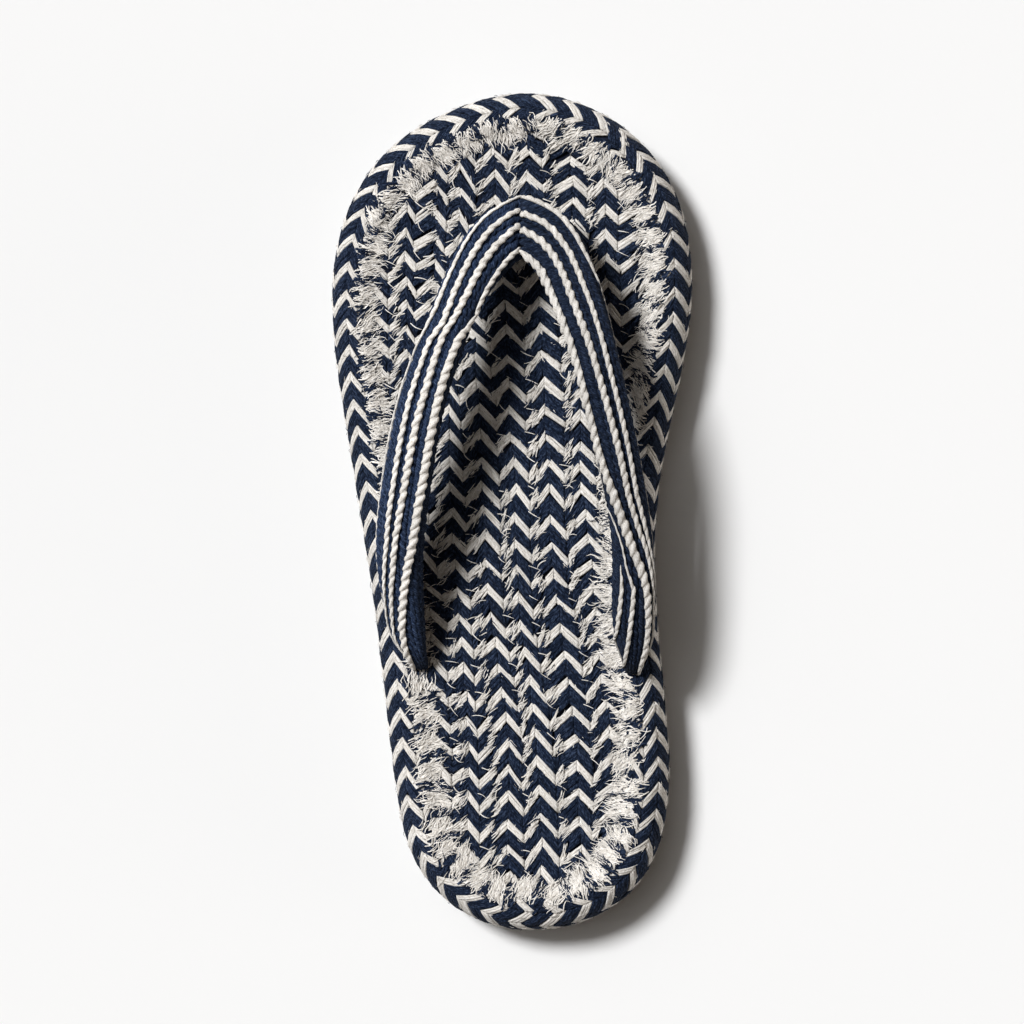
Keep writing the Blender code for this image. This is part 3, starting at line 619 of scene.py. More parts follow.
def add_legs(piece, surface, start, end, width, heights, strands, scale, crease, ragged=(0, 0)):
    """Flat bundles of strands from start to end on a surface. Both are (count, 2) places
    there. A bundle's width runs along the first place, so its ends are mitred. heights is
    (count, 2), above the surface at start and end, scale is the mm of a unit of the
    second place, crease how sharply the bundles sink at their ends and how much painted
    shade darkens them there, and ragged how unevenly the strands end, as shares of their run."""
    shape = (len(start), strands)
    across = (np.arange(strands) + 0.5) / strands * 2 - 1
    first_end = RANDOM.normal(0, 0.02 + ragged[0], shape) - ragged[0] / 2
    last_end = 1 + RANDOM.normal(0, 0.02 + ragged[1], shape) + ragged[1] / 2
    share = (first_end[..., None] + (last_end - first_end)[..., None] * STRAND_STATIONS)[..., None]
    half = width[:, None] / 2
    centre = (half * across * 0.95 + RANDOM.normal(0, 0.05, shape))[..., None, None]
    bow = RANDOM.normal(0, 0.12, shape)[..., None, None] * 4 * share * (1 - share)
    reach = half / strands * 1.2 * (1 + RANDOM.normal(0, 0.06, shape))
    reach = reach[..., None, None] * STRAND_SECTION[:, 0]

    def between(a, b):
        return a[:, None, None, None] * (1 - share) + b[:, None, None, None] * share

    first = between(start[:, 0], end[:, 0]) + centre + bow + reach
    second = between(start[:, 1], end[:, 1]) + 0 * reach
    raised = (RANDOM.normal(0, 0.07, shape) - 0.18 * across**2)[..., None, None]
    height = (between(heights[:, 0], heights[:, 1]) + crease * np.interp(share, SAG_AT, SAG)
              + raised + STRAND_SECTION[:, 1])
    points = surface(first, second, height)
    rise = (end[:, 1] - start[:, 1]) * scale
    run = np.hypot(end[:, 0] - start[:, 0], rise)
    slope = np.abs(rise) / np.maximum(run, 0.1)
    threads = thread_places(run[:, None, None, None] * share,
                            (reach + centre) * slope[:, None, None, None],
                            RANDOM.uniform(0, 100, shape)[..., None, None])
    # painted shade: each strand darkens towards its creases, at its sides and underneath
    shades = (1 - crease * (1 - np.interp(share, SAG_AT, SAG_PAINTED_SHADES))) * SECTION_PAINTED_SHADES
    flat = (-1, *points.shape[2:])
    piece.add_tubes(points.reshape(flat), threads.reshape(flat), shades.reshape(flat[:-1]))


# Rim


def rim_surface(edge):
    def surface(distance, turn, height):
        angle = np.radians(turn)
        reach = np.where(turn > 0, RIM_MIDDLE, RIM_MIDDLE - RIM_FOOT)
        inset = RIM_BULGE * (1 - np.cos(angle)) - height * np.cos(angle)
        place = edge.at(distance, inset)
        z = RIM_MIDDLE + (reach + height) * np.sin(angle) + lift(place[..., 1])
        return at_height(place, z)

    return surface


def rim_legs(half):
    """The rim's bundles, from crease to crease: starts and ends, (legs, 2) in mm along the
    edge and degrees. half is 0 for the cream bundles and 0.5 for the navy ones."""
    base = looked_up(RIM_PLACES, np.arange(RIM_REPEATS) + half)
    creases = np.arange(-4, 7)
    signs = np.where(creases % 2, 1, -1)
    strayed = RANDOM.normal(0, 0.16, (len(base), len(creases)))
    along = base[:, None] + RIM_LEAD / 2 * signs + strayed
    order = creases + looked_up(RIM_ROLL, along) + RANDOM.normal(0, 0.02, along.shape)
    top = len(RIM_TURNS) - 1
    low, high = order[:, :-1], order[:, 1:]
    kept = (high > 0.05) & (low < top - 0.05)
    ends = []
    for bound in (np.maximum(low, 0), np.minimum(high, top)):
        share = (bound - low) / (high - low)
        place = along[:, :-1] * (1 - share) + along[:, 1:] * share
        turn = np.interp(bound, np.arange(top + 1), RIM_TURNS)
        ends.append(np.stack([place[kept], turn[kept]], axis=1))
    return ends


def make_rim(edge, materials):
    surface = rim_surface(edge)
    braids = {CREAM: Piece("rim_cream", 0.83), NAVY: Piece("rim_navy")}
    fuzz = {CREAM: Piece("rim_fuzz_cream", 0.7), NAVY: Piece("rim_fuzz_navy")}
    places = np.array(RIM_PLACES, float)
    steps = np.diff(places[:, 1]) / np.diff(places[:, 0])
    for colour, half, strands, crease, strays in RIM_KINDS:
        start, end = rim_legs(half)
        width = looked_up(RIM_CREAM, start[:, 0])
        if colour == NAVY:
            row = np.clip(np.searchsorted(places[:, 1], start[:, 0]) - 1, 0, len(steps) - 1)
            width = steps[row] - width + RIM_OVERLAP
        width = width * (1 + RANDOM.normal(0, 0.03, len(width)))
        heights = RANDOM.normal(0, 0.06, (len(start), 2))
        add_legs(braids[colour], surface, start, end, width, heights, strands, RIM_DEGREE, crease)
        add_fuzz(fuzz[colour], surface, start, end, width, strays, RIM_DEGREE)
    build_all(braids, materials, "rim_braid", ["rim"])
    build_all(fuzz, materials, "rim_braid", ["rim"], smooth=False)
    core = Piece("rim_core")
    distance = np.arange(241)[None, :, None] * edge.length / 240
    turns = np.linspace(-88, 104, 19)[None, None, :]
    shell = surface(*np.broadcast_arrays(distance, turns), -RIM_CORE_DEPTH)
    wall = edge.at(distance, RIM_CORE_INSET)
    rows = [at_height(wall, z + lift(wall[..., 1])) for z in RIM_CORE_HEIGHTS]
    # painted shade: the core takes the dark shadow colour, darkened further, so that the gaps
    # between the bundles look dark
    core.add_tubes(np.concatenate([shell, *rows], axis=2), np.zeros(3), 0.3)
    core.build(materials["shadow"], "rim_braid", ["rim"])


# Mat


def mat_surface(y, x, height):
    z = MAT_TOP + lift(y) + height
    return np.stack([x + 0 * z, y + 0 * z, z], axis=-1)


def braid_rows(knots, low=-124.0, high=124.0):
    """The apexes' y of a braid, through the knots (row, y), run on past both ends."""
    rows, ys = np.array(knots, float).T
    steps = np.diff(ys) / np.diff(rows)
    found = list(np.interp(np.arange(rows[0], rows[-1] + 1), rows, ys))
    while found[0] - steps[0] < high:
        found.insert(0, found[0] - steps[0])
    while found[-1] + steps[-1] > low:
        found.append(found[-1] + steps[-1])
    return np.array(found)


def braid_legs(knots, shape, half_rows):
    """Start and end places (y, x) and heights of a braid's legs, and its rows' steps.
    half_rows is 0 for the cream bundles and 0.5 for the navy ones between them."""
    ys = braid_rows(knots)
    y = np.interp(np.arange(len(ys) - 1) + half_rows, np.arange(len(ys)), ys)
    shape = np.array(shape)[::-1]
    start, apex, valley, end, start_drop, drop, rise = read_off(y, shape[:, 0], shape[:, 1:]).T
    y = y + RANDOM.normal(0, 0.3, len(y))
    loose = np.interp(y, *MAT_LOOSENESS)[:, None]
    x = np.stack([start - 0.2, apex, valley, end + 0.2], axis=1)
    x = x + RANDOM.normal(0, 1, x.shape) * loose
    drops = np.stack([-start_drop, 0 * y, -drop, rise - drop], axis=1)
    place_y = y[:, None] + drops + RANDOM.normal(0, 1, x.shape) * loose
    share = (x - x[:, :1]) / (x[:, 3:] - x[:, :1])
    crown = 0.4 - MAT_CROWN * (2 * share - 1) ** 2
    crown[:, [0, 3]] += RANDOM.normal(0, 0.15, (len(y), 2))
    return np.stack([place_y, x], axis=-1), crown, np.abs(np.gradient(y))


def within(edge, start, end, limit):
    """The legs clipped to where they lie further inside the edge than limit, and which of
    them are left."""
    _, a = edge.nearest(start[:, ::-1])
    _, b = edge.nearest(end[:, ::-1])
    share = np.clip((limit - a) / np.where(np.abs(b - a) < 1e-6, 1e-6, b - a), 0, 1)[:, None]
    cut = start * (1 - share) + end * share
    start = np.where((a < limit)[:, None], cut, start)
    end = np.where((b < limit)[:, None], cut, end)
    run = end - start
    long_enough = (np.abs(run[:, 1]) > 0.9) & (np.linalg.norm(run, axis=1) > 1.2)
    return start, end, (np.maximum(a, b) > limit) & long_enough


def make_mat(edge, frame, materials):
    braids = {CREAM: Piece("footbed_cream", 0.88), NAVY: Piece("footbed_navy", 0.9)}
    loose = {CREAM: Piece("loose_cream", 0.9), NAVY: Piece("loose_navy")}
    for knots, shape in BRAIDS:
        for colour, half_rows, crease, frayed in MAT_KINDS:
            places, crown, steps = braid_legs(knots, shape, half_rows)
            for k in range(3):
                start, end = places[:, k], places[:, k + 1]
                width = MAT_CREAM * (1 + RANDOM.normal(0, 0.06, len(start)))
                if colour == NAVY:
                    width = steps - MAT_CREAM + MAT_OVERLAP
                heights = crown[:, k : k + 2] + RANDOM.normal(0, 0.10, (len(start), 2))
                start, end, kept = within(edge, start, end, MAT_EDGE_INSET)
                start, end, width, heights = (v[kept] for v in (start, end, width, heights))
                add_legs(braids[colour], mat_surface, start, end, width, heights, MAT_STRANDS,
                         1.0, crease, MAT_RAGGED[k])
                if k != 1:
                    place, other = (start, end) if k == 0 else (end, start)
                    splay(loose[colour], place, place - other, width, frayed, *FRAYED)
                if colour == CREAM:
                    add_fuzz(loose[CREAM], mat_surface, start, end, width, MAT_STRAYS, 1.0)
                if k == 2 and colour == CREAM:
                    start = start[RANDOM.random(len(kept))[kept] < STITCH_SHARE]
                    stitch = start + STITCH_AT + RANDOM.normal(0, 0.4, start.shape)
                    ways = np.tile(STITCH_WAY, (len(start), 1))
                    splay(loose[CREAM], stitch, ways, 0 * stitch[:, 0], 1, *STITCHED)
    build_all(loose, materials, "footbed_braid", ["footbed"], smooth=False)
    build_all(braids, materials, "footbed_braid", ["footbed"])

    def sink(height):
        return np.where(height > MAT_TOP - MAT_SKIN, MAT_TOP - MAT_CORE_DEPTH, height)

    add_core(frame, "footbed", sink, materials)


def add_core(frame, node, reshape, materials):
    """A copy of a solid to lie inside what is built on it. reshape gives the new heights
    of its points, from their heights over the raised ground."""
    core = frame["nodes"][node].copy()
    core.data = core.data.copy()
    core.name = f"{node}_core"
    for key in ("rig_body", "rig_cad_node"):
        if key in core:
            del core[key]
    core.parent = None
    bpy.context.scene.collection.objects.link(core)
    points = np.empty(len(core.data.vertices) * 3)
    core.data.vertices.foreach_get("co", points)
    points = points.reshape(-1, 3)
    raised = lift(points[:, 1] / MM)
    points[:, 2] = (reshape(points[:, 2] / MM - raised) + raised) * MM
    core.data.vertices.foreach_set("co", points.reshape(-1))
    # painted shade: the core is dark so that it reads as shade in the gaps of what lies on it
    core.data.materials.clear()
    core.data.materials.append(materials["shadow"])
    core.hide_render = False
    core.hide_viewport = False
    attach(core, "root")
    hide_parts(node)


# Sole


def make_sole(edge, frame, materials):
    """The cloth under the sole: a plain weave of flat yarns on a solid core."""
    weave = Piece("sole_weave")
    sides = np.array(YARN_SECTION)
    steps = np.arange(-WEAVE_REACH, WEAVE_REACH, WEAVE_PITCH / 2)
    for across in (0, 1):
        for number in range(math.ceil(2 * WEAVE_REACH / WEAVE_PITCH)):
            row = (number + 0.5) * WEAVE_PITCH - WEAVE_REACH
            places = np.stack([row + 0 * steps, steps], axis=1)[:, :: 1 - 2 * across]
            _, inset = edge.nearest(places)
            near = np.abs(places[:, 0]) < 60
            kept = np.flatnonzero((inset > SOLE_WALL_INSET - WEAVE_TURNUP) & near)
            for run in np.split(kept, np.flatnonzero(np.diff(kept) > 1) + 1):
                if len(run) < 4:
                    continue
                wave = np.cos(math.pi * (steps[run] / WEAVE_PITCH + number + across)) * WEAVE_WAVE
                ring = np.empty((len(run), len(sides), 3))
                ring[..., :2] = places[run][:, None]
                ring[..., across] += sides[:, 0]
                ring[..., 2] = (lift(places[run, 1]) + WEAVE_HEIGHT + wave)[:, None] + sides[:, 1]
                threads = thread_places(steps[run][:, None], sides[:, 0], RANDOM.uniform(0, 100))
                weave.add_tubes(ring[None], threads[None])
    weave.build(materials[NAVY], "sole_cloth", ["sole"])
    add_core(frame, "sole", lambda height: np.maximum(height, SOLE_CORE_LOW),
             materials)


# Strap


def arm_frames(table):
    """Sections along an arm: their middles, the unit vectors across and up, and their
    half widths and half thicknesses."""
    rows = cubic_through(table)(np.linspace(0, 1, ARM_STATIONS))
    outers, inners, thick = rows[:, 0:3], rows[:, 3:6], rows[:, 6]
    middles, across = (outers + inners) / 2, inners - outers
    up = unit(np.cross(unit(across), unit(np.gradient(middles, axis=0))))
    up = np.where(up[:, 2:] < 0, -up, up)
    return middles, unit(across), up, np.linalg.norm(across, axis=1) / 2, thick / 2


def squared_round(angle):
    """Places round a section that is squarer than a circle."""
    place = np.stack([np.cos(angle), np.sin(angle)], axis=1)
    return np.sign(place) * np.abs(place) ** (2 / ARM_SQUARENESS)


def section_walk(half_width, half_thick, count=361):
    """Points round a section from its outermost edge over the top and back under it, each
    with the outward normal there, and the distance walked."""
    places = squared_round(np.linspace(0, 2 * math.pi, count)) * [-half_width, half_thick]
    halves = np.array([half_width, half_thick])
    steep = np.abs(places / halves) ** (ARM_SQUARENESS - 1) / halves
    return np.concatenate([places, unit(np.sign(places) * steep)], axis=1), walked_along(places)


def add_rope(piece, centres, outward, radius, pitch, sides, rings, flat, shade=1.0):
    """A cord of two strands twisted right-handed along a path, a little flattened where
    it lies on the strap. Each column of points follows a strand."""
    walked = walked_along(centres)
    count = max(int(walked[-1] / pitch * rings), 8)
    place = np.linspace(0, walked[-1], count)
    middle, normal = (read_off(place, walked, values) for values in (centres, outward))
    size = np.interp(place, walked, radius)
    ahead = unit(np.gradient(middle, axis=0))
    normal = unit(normal - ahead * (normal * ahead).sum(1)[:, None])
    column = round_ring(sides)
    lobes = 0.66 + 0.34 * np.abs(np.cos(column)) ** 0.8
    turn = column[None, :] + 2 * math.pi * place[:, None] / pitch + RANDOM.uniform(0, 6)
    reach = size[:, None] * lobes
    points = offset(middle, np.cross(ahead, normal), normal,
                    reach * np.cos(turn), reach * np.sin(turn) * flat)
    threads = thread_places(place[:, None], column * size[:, None], RANDOM.uniform(0, 100))
    # painted shade: darker where the two strands meet, in the grooves of the twist; shade scales
    # it all
    shades = (0.80 + 0.26 * (lobes - lobes.min()) / (lobes.max() - lobes.min())) * shade
    piece.add_tubes(points[None], threads[None], shades)


def add_grains(piece, centres, outward, half, slant, shade):
    """A cord that is a chain of grains, each slanting right-handed across it, on a core.
    half is the cord's half width at each centre; shade is its arm's painted light or shade."""
    walked = walked_along(centres)
    side = unit(np.cross(unit(np.gradient(centres, axis=0)), outward))
    start = np.arange(0.4, walked[-1] / GRAIN_PERIOD - 0.3) * GRAIN_PERIOD
    start = start + RANDOM.normal(0, 0.12, len(start))
    start = start[np.interp(start, walked, half) > 0.16]
    share = np.linspace(-1, 1, 9)
    place = np.clip(start[:, None] + share * GRAIN_LENGTH / 2, 0, walked[-1])
    axes = (read_off(place, walked, values) for values in (centres, side, outward))
    size = np.interp(start, walked, half) * (1 + RANDOM.normal(0, 0.05, len(start)))
    size, share = size[:, None, None], share[None, :, None]
    angle = round_ring(8)
    taper = np.sqrt(1 - 0.95 * np.abs(share) ** 2.6)
    lateral = size * (slant * share * (1.1 - 0.4 * share**2)
                      + (0.88 - 0.45 * slant) * taper * np.cos(angle))
    rise = size * (0.3 - 0.34 * share**2 + 0.42 * taper * np.sin(angle))
    threads = thread_places(1.5 * place[:, :, None], 1.5 * lateral,
                            RANDOM.uniform(0, 100, len(start))[:, None, None])
    # painted light and shade: each grain lighter on top, darker underneath and at its ends
    lit = 0.88 + 0.2 * np.maximum(np.sin(angle), -0.4)
    shades = (shade * lit * (1 - 0.2 * np.abs(share) ** 3)
              * RANDOM.uniform(0.84, 1.06, (len(start), 1, 8)))
    piece.add_tubes(offset(*axes, lateral, rise), threads, shades)
    # painted shade: a darker core under the grains, which shows between them
    angle = round_ring(6)
    rows = np.flatnonzero(half > 0.18)[::3]
    size = half[rows, None]
    core = offset(centres[rows], side[rows], outward[rows],
                  size * 0.66 * np.cos(angle), size * 0.48 * np.sin(angle))
    piece.add_tubes(core[None], np.zeros(3), 0.8 * shade)


def make_arm(table, cords, dip, shades, cream, navy, padding):
    middles, across, up, half_width, half_thick = arm_frames(table)
    share = np.linspace(0, 1, ARM_STATIONS)
    sunk = dip[0] * np.clip(1 - share / dip[1], 0, 1) ** 2
    sunk = sunk + dip[2] * np.exp(-(((share - HANG[0]) / HANG[1]) ** 2))
    middles = middles - up * sunk[:, None]
    walks = [section_walk(w, t) for w, t in zip(half_width, half_thick)]

    def lay(places, depth):
        """Centres and outward directions at distances round each section."""
        found = [read_off(place % walked[-1], walked, section)
                 for place, (section, walked) in zip(places, walks)]
        x, y, nx, ny = np.array(found).T[..., None]
        return middles + across * (x - nx * depth) + up * (y - ny * depth), across * nx + up * ny

    cream_painted_light_shade, *navy_painted_light_shade = shades
    round_it = np.array([walked[-1] for _, walked in walks])
    radius = round_it / SIDE_CORDS / 2 * SIDE_WIDTH
    for k in range(SIDE_CORDS):
        centres, outward = lay(round_it * (k + 0.5) / SIDE_CORDS, radius[:, None] * SIDE_DEPTH)
        # painted light: the navy cords over the arm's top take the first painted shade, those down
        # its inner side and under it the second
        add_rope(navy, centres, outward, radius, SIDE_PITCH, 8, 6, 0.92,
                 navy_painted_light_shade[k > SIDE_CORDS / 2 - 3])
    for slant, rows in cords:
        rows = np.array(rows)
        position, width = read_off(share, rows[:, 0], rows[:, 1:]).T
        beyond = np.minimum(position, 0) + np.maximum(position - 1, 0)
        places = 2 * half_width * beyond
        for i, (section, walked) in enumerate(walks):
            half = len(walked) // 2 + 1
            x = (position[i] - 0.5) * 2 * half_width[i]
            places[i] += np.interp(x, section[:half, 0], walked[:half])
        add_grains(cream, *lay(places, -CREAM_RISE), width / 2, slant, cream_painted_light_shade)
    xs, ys = squared_round(round_ring(28)).T
    points = offset(middles, across, up, (half_width - PADDING_DEPTH)[:, None] * xs,
                    (half_thick - PADDING_DEPTH)[:, None] * ys)
    # painted shade: the dark padding shows between the cords, darkened further
    padding.add_tubes(points[None, ::3], np.zeros(3), 0.6)


def make_strap(materials):
    cream, navy, core = Piece("strap_cream_cords"), Piece("strap_navy_cords"), Piece("strap_core")
    make_arm(OUTER_ARM, OUTER_CORDS, OUTER_DIP, OUTER_PAINTED_LIGHT, cream, navy, core)
    make_arm(INNER_ARM, INNER_CORDS, INNER_DIP, INNER_PAINTED_SHADE, cream, navy, core)
    cream.build(materials[CREAM], "strap_cords", ["strap"])
    navy.build(materials[NAVY], "strap_cords", ["strap"])
    padding = core.build(materials["shadow"], "strap_cords", ["strap"])


def make_toe_post(materials):
    """Three cords wound round each other."""
    post = Piece("toe_post_cord")
    heights = np.linspace(POST_LOW, POST_HIGH, 40)
    for turn in round_ring(3):
        outward, _ = headings(turn + heights / 9.0)
        centres = at_height(outward * 1.45 + [POST_X, POST_Y], heights)
        add_rope(post, centres, at_height(outward, 0 * heights), np.full(40, 1.6), 5.0, 12, 9, 1.0)
    post.build(materials[NAVY], "post_cord", ["toe_post"])


# Frayed ends


def add_fibres(piece, paths, radius, upward=1.0):
    """Thin three-sided fibres that taper to their ends: paths is fibres x stations x 3,
    and upward is their height as a share of their width."""
    count, stations, _ = paths.shape
    ahead = unit(np.gradient(paths, axis=1))
    side = unit(np.cross(ahead, [0.0, 0.0, 1.0]))
    taper = np.interp(np.linspace(0, 1, stations), *FIBRE_TAPER)
    size = radius[:, None, None] * taper[:, None]
    angle = round_ring(3) - math.pi / 2 + RANDOM.normal(0, 0.2, (count, 1, 1))
    points = offset(paths, side, np.cross(side, ahead),
                    size * np.cos(angle), upward * size * np.sin(angle))
    threads = thread_places(np.linspace(0, 5, stations)[:, None],
                            np.array([0, -1, 1]) * radius[:, None, None],
                            RANDOM.uniform(0, 100, count)[:, None, None])
    # painted shade: each fibre darker on its lower side than on its two upper ones
    shades = np.array(FIBRE_PAINTED_SHADES) * RANDOM.uniform(0.8, 1.1, (count, 1, 1))
    piece.add_tubes(points, threads, shades)


def splay(piece, place, direction, width, each, lengths, thickness, spread):
    """Loose ends of fibres that splay from places (y, x) on the mat along directions."""
    which = np.repeat(np.arange(len(place)), each)
    count = len(which)
    turn = np.arctan2(direction[which, 1], direction[which, 0])
    along, aside = headings(turn + RANDOM.normal(0, spread, count))
    share = np.linspace(-0.7, 0.3, 5)
    length = RANDOM.uniform(*lengths, (count, 1))
    bend = RANDOM.normal(0, 0.3, (count, 1))
    start = place[which] + RANDOM.normal(0, 0.25, (count, 2))
    start[:, 0] += RANDOM.uniform(-0.5, 0.5, count) * width[which]
    flat = offset(start, along, aside, length * share, length * bend * (share**2 - 0.1))
    height = RANDOM.uniform(0.1, 0.5, (count, 1)) * np.array([0.0, 0.7, 1.0, 0.8, 0.2])
    paths = mat_surface(flat[..., 0], flat[..., 1], height + 0.2)
    add_fibres(piece, paths, RANDOM.uniform(*thickness, count), 0.5)


def add_fuzz(piece, surface, start, end, width, each, scale):
    """Fine short fibres that stray off bundles, about along them."""
    which = np.repeat(np.arange(len(start)), each)
    count = len(which)
    start, run = start[which] * [1, scale], (end - start)[which] * [1, scale]
    along, aside = headings(np.arctan2(run[:, 1], run[:, 0]) + RANDOM.normal(0, 0.4, count))
    middle = start + run * RANDOM.uniform(0.02, 0.98, (count, 1))
    middle[:, 0] += RANDOM.uniform(-0.58, 0.58, count) * width[which]
    share = np.array([-0.5, 0.0, 0.5])
    bend = RANDOM.normal(0, 0.2, (count, 1))
    length = RANDOM.uniform(1.0, 2.3, (count, 1))
    flat = offset(middle, along, aside, length * share, length * bend * share**2)
    height = RANDOM.uniform(0.1, 0.4, (count, 1)) * np.array([0.2, 1.0, 0.6])
    paths = surface(flat[..., 0], flat[..., 1] / scale, height)
    add_fibres(piece, paths, RANDOM.uniform(0.07, 0.12, count))


def ground_height(inset, y):
    """The height of the rim's or the mat's surface at an inset."""
    cosine = np.clip(1 - inset / RIM_BULGE, -1, 1)
    rim = RIM_MIDDLE * (1 + np.sqrt(1 - cosine**2))
    share = eased(np.clip((inset - RIM_BULGE) / 5.5, 0, 1))
    return rim * (1 - share) + (MAT_TOP + 0.4) * share + lift(y)


def combed(edge, distance, inset, heading, length, bend, layer):
    """Paths of fibres that lie on the joint between the rim and the mat. heading is the
    turn in degrees from straight across the joint, bend how far each curves to one side
    and how far it winds, and layer the height above the joint."""
    ax, ay = edge.direction(distance)
    turn = np.radians(heading)
    across = np.stack([ay * np.cos(turn) + ax * np.sin(turn),
                       -ax * np.cos(turn) + ay * np.sin(turn)], axis=1)
    share = np.linspace(-0.5, 0.5, FIBRE_STATIONS)
    sideways = bend[:, :1] * (share**2 - 0.08) + bend[:, 1:] * share * (4 * share**2 - 1)
    length = length[:, None]
    flat = offset(edge.at(distance, inset), across, across[:, ::-1] * [-1, 1],
                  length * share, length * sideways)
    _, insets = edge.nearest(flat.reshape(-1, 2))
    ground = ground_height(insets.reshape(-1, FIBRE_STATIONS), flat[..., 1])
    return at_height(flat, ground + layer[:, None] * (1 - 0.7 * (2 * share) ** 2) - 0.1)


def make_fringe(edge, materials):
    """The cut ends of the braids: tufts of fibres combed across the joint between the mat
    and the rim. Each tuft goes on from a cream bundle of the rim, and navy ones show
    between them."""
    _, ends = rim_legs(0.0)
    tufts = np.sort(ends[ends[:, 1] > 100, 0])
    tufts = tufts[np.diff(tufts, prepend=-9.0) > 4.5]
    places = {"tufts": tufts, "gaps": tufts + np.diff(tufts, append=tufts[0] + edge.length) / 2}
    pieces = {CREAM: Piece("fringe_cream", 1.08), NAVY: Piece("fringe_navy")}
    leaning = RANDOM.normal(0, 24, len(tufts)) + looked_up(FRINGE_LEAN, tufts)
    fan = RANDOM.normal(12, 14, len(tufts))
    for row in FRINGE_FIBRES:
        colour, where, each, middle, wander, wide, lengths, thickness, upward, pile = row
        clump = np.repeat(np.arange(len(tufts)), each)
        count = len(clump)
        aside = RANDOM.uniform(-0.5, 0.5, count)
        distance = places[where][clump] + aside * wide
        broad = looked_up(FRINGE_BREADTH, distance)
        strays = RANDOM.normal(0, 0.7, len(tufts))[clump] + RANDOM.normal(0, wander / 1.5, count)
        inset = middle + 3.0 * (broad - 1) + broad * strays
        heading = leaning[clump] + 2 * aside * fan[clump] + RANDOM.normal(0, 11, count)
        length = RANDOM.uniform(*lengths, count) * broad**0.5
        paths = combed(edge, distance, inset, heading, length,
                       RANDOM.normal(0, (0.5, 0.35), (count, 2)), RANDOM.uniform(*pile, count))
        add_fibres(pieces[colour], paths, RANDOM.uniform(*thickness, count), upward)
    build_all(pieces, materials, "footbed_braid", ["footbed"], smooth=False)


# Materials


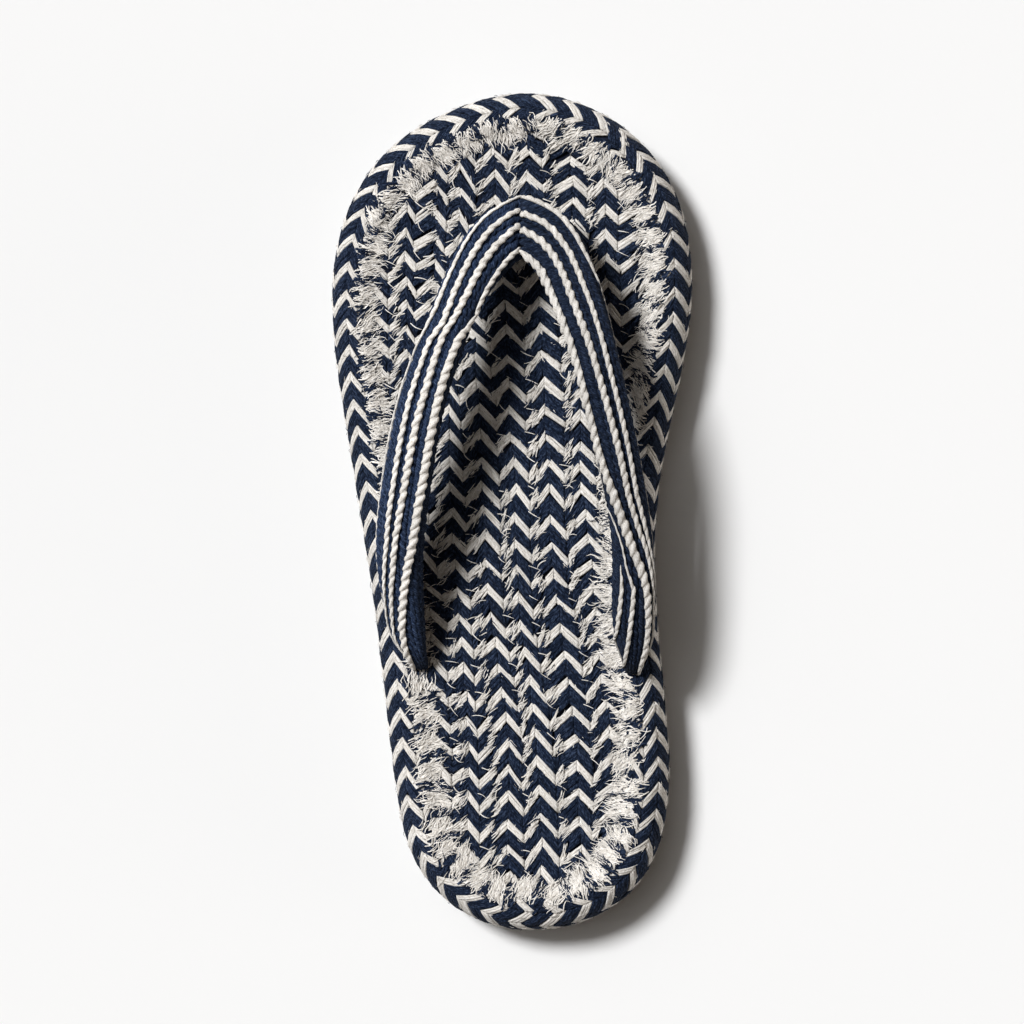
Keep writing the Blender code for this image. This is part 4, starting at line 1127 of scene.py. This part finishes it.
def cotton(name, colours, sheen, relief_strength):
    """Cotton thread: fibres streak along each thread, threads differ a little, and each
    point's shade darkens it: painted shade in grooves, creases and undersides, and random tone."""
    material = bpy.data.materials.new(name)
    material.use_nodes = True
    nodes, links = material.node_tree.nodes, material.node_tree.links
    shader = nodes["Principled BSDF"]

    def calculated(operation, first, second):
        node = nodes.new("ShaderNodeMath")
        node.operation = operation
        for socket, value in zip(node.inputs, (first, second)):
            if isinstance(value, (int, float)):
                socket.default_value = value
            else:
                links.new(value, socket)
        return node.outputs[0]

    def scaled(value, factor, extra):
        return calculated("ADD", calculated("MULTIPLY", value, factor), extra)

    def attribute(kind, output):
        node = nodes.new("ShaderNodeAttribute")
        node.attribute_name = kind
        return node.outputs[output]

    def noise(along, across, detail):
        combine, node = nodes.new("ShaderNodeCombineXYZ"), nodes.new("ShaderNodeTexNoise")
        for k, scale in enumerate((along, across, 7.3)):
            links.new(calculated("MULTIPLY", split.outputs[k], scale), combine.inputs[k])
        node.inputs["Scale"].default_value = 1.0
        node.inputs["Detail"].default_value = detail
        links.new(combine.outputs[0], node.inputs["Vector"])
        return node.outputs["Fac"]

    split = nodes.new("ShaderNodeSeparateXYZ")
    links.new(attribute("thread", "Vector"), split.inputs[0])
    streaks, fibres, flecks = noise(0.42, 2.4, 2.0), noise(1.3, 5.5, 2.0), noise(1.5, 1.7, 1.0)
    mixed = scaled(streaks, 0.3, scaled(fibres, 0.3, calculated("MULTIPLY", flecks, 0.4)))
    ramp = nodes.new("ShaderNodeValToRGB")
    links.new(mixed, ramp.inputs[0])
    elements = ramp.color_ramp.elements
    elements.new(0.5)
    for element, position, colour in zip(elements, (0.39, 0.5, 0.61), colours):
        element.position = position
        element.color = (*colour, 1)
    whole = nodes.new("ShaderNodeTexWhiteNoise")
    whole.noise_dimensions = "1D"
    links.new(split.outputs[2], whole.inputs["W"])
    tint = scaled(whole.outputs["Value"], 0.22, 0.86)
    # painted shade: the shade attribute darkens the base colour in grooves, creases and
    # undersides, and varies it at random
    factor = calculated("MULTIPLY", tint, scaled(attribute("shade", "Fac"), 0.55, 0.45))
    scale = nodes.new("ShaderNodeVectorMath")
    scale.operation = "SCALE"
    links.new(ramp.outputs["Color"], scale.inputs[0])
    links.new(factor, scale.inputs["Scale"])
    links.new(scale.outputs[0], shader.inputs["Base Color"])
    relief = nodes.new("ShaderNodeBump")
    relief.inputs["Strength"].default_value = relief_strength
    relief.inputs["Distance"].default_value = 0.0004
    links.new(mixed, relief.inputs["Height"])
    links.new(relief.outputs[0], shader.inputs["Normal"])
    links.new(scaled(fibres, 0.2, 0.78), shader.inputs["Roughness"])
    shader.inputs["Specular IOR Level"].default_value = 0.1
    shader.inputs["Sheen Weight"].default_value = sheen
    shader.inputs["Sheen Roughness"].default_value = 0.5
    return material


# Stage


def make_camera():
    camera = bpy.data.cameras.new("camera")
    camera.sensor_width = 36.0
    camera.lens = camera.sensor_width * (CAMERA_AT - CAMERA_LOOK).length / FRAME_WIDTH
    holder = add_object("camera", camera)
    back = (CAMERA_AT - CAMERA_LOOK).normalized()
    right = Vector((0, 1, 0)).cross(back).normalized()
    turned = Matrix((right, back.cross(right), back)).transposed().to_4x4()
    turned.translation = CAMERA_AT
    holder.matrix_world = turned
    bpy.context.scene.camera = holder


def make_light():
    for name, energy, wide, toward, colour in LAMPS:
        sun = bpy.data.lights.new(name, "SUN")
        sun.energy = energy
        sun.angle = math.radians(wide)
        sun.color = colour
        holder = add_object(name, sun)
        holder.rotation_mode = "QUATERNION"
        holder.rotation_quaternion = Vector(toward).to_track_quat("-Z", "Y")
    world = bpy.data.worlds.new("studio")
    world.use_nodes = True
    background = world.node_tree.nodes["Background"]
    background.inputs["Color"].default_value = WORLD_COLOUR
    background.inputs["Strength"].default_value = WORLD_STRENGTH
    bpy.context.scene.world = world


def make_floor():
    material = bpy.data.materials.new("floor_paper")
    material.use_nodes = True
    shader = material.node_tree.nodes["Principled BSDF"]
    shader.inputs["Base Color"].default_value = FLOOR_COLOUR
    shader.inputs["Roughness"].default_value = 0.95
    shader.inputs["Specular IOR Level"].default_value = 0.1
    mesh = bpy.data.meshes.new("floor")
    sides = (-1, -1), (1, -1), (1, 1), (-1, 1)
    corners = [(x * FLOOR_HALF, y * FLOOR_HALF, FLOOR_Z) for x, y in sides]
    mesh.from_pydata(corners, [], [(0, 1, 2, 3)])
    mesh.materials.append(material)
    floor = add_object("floor", mesh)


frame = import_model()
materials = {key: cotton(*looks) for key, looks in COTTON.items()}
edge = Outline(frame["nodes"]["sole"])
make_camera()
make_light()
make_floor()
make_rim(edge, materials)
make_mat(edge, frame, materials)
make_strap(materials)
make_toe_post(materials)
make_fringe(edge, materials)
make_sole(edge, frame, materials)
bpy.context.scene.view_settings.view_transform = "Standard"
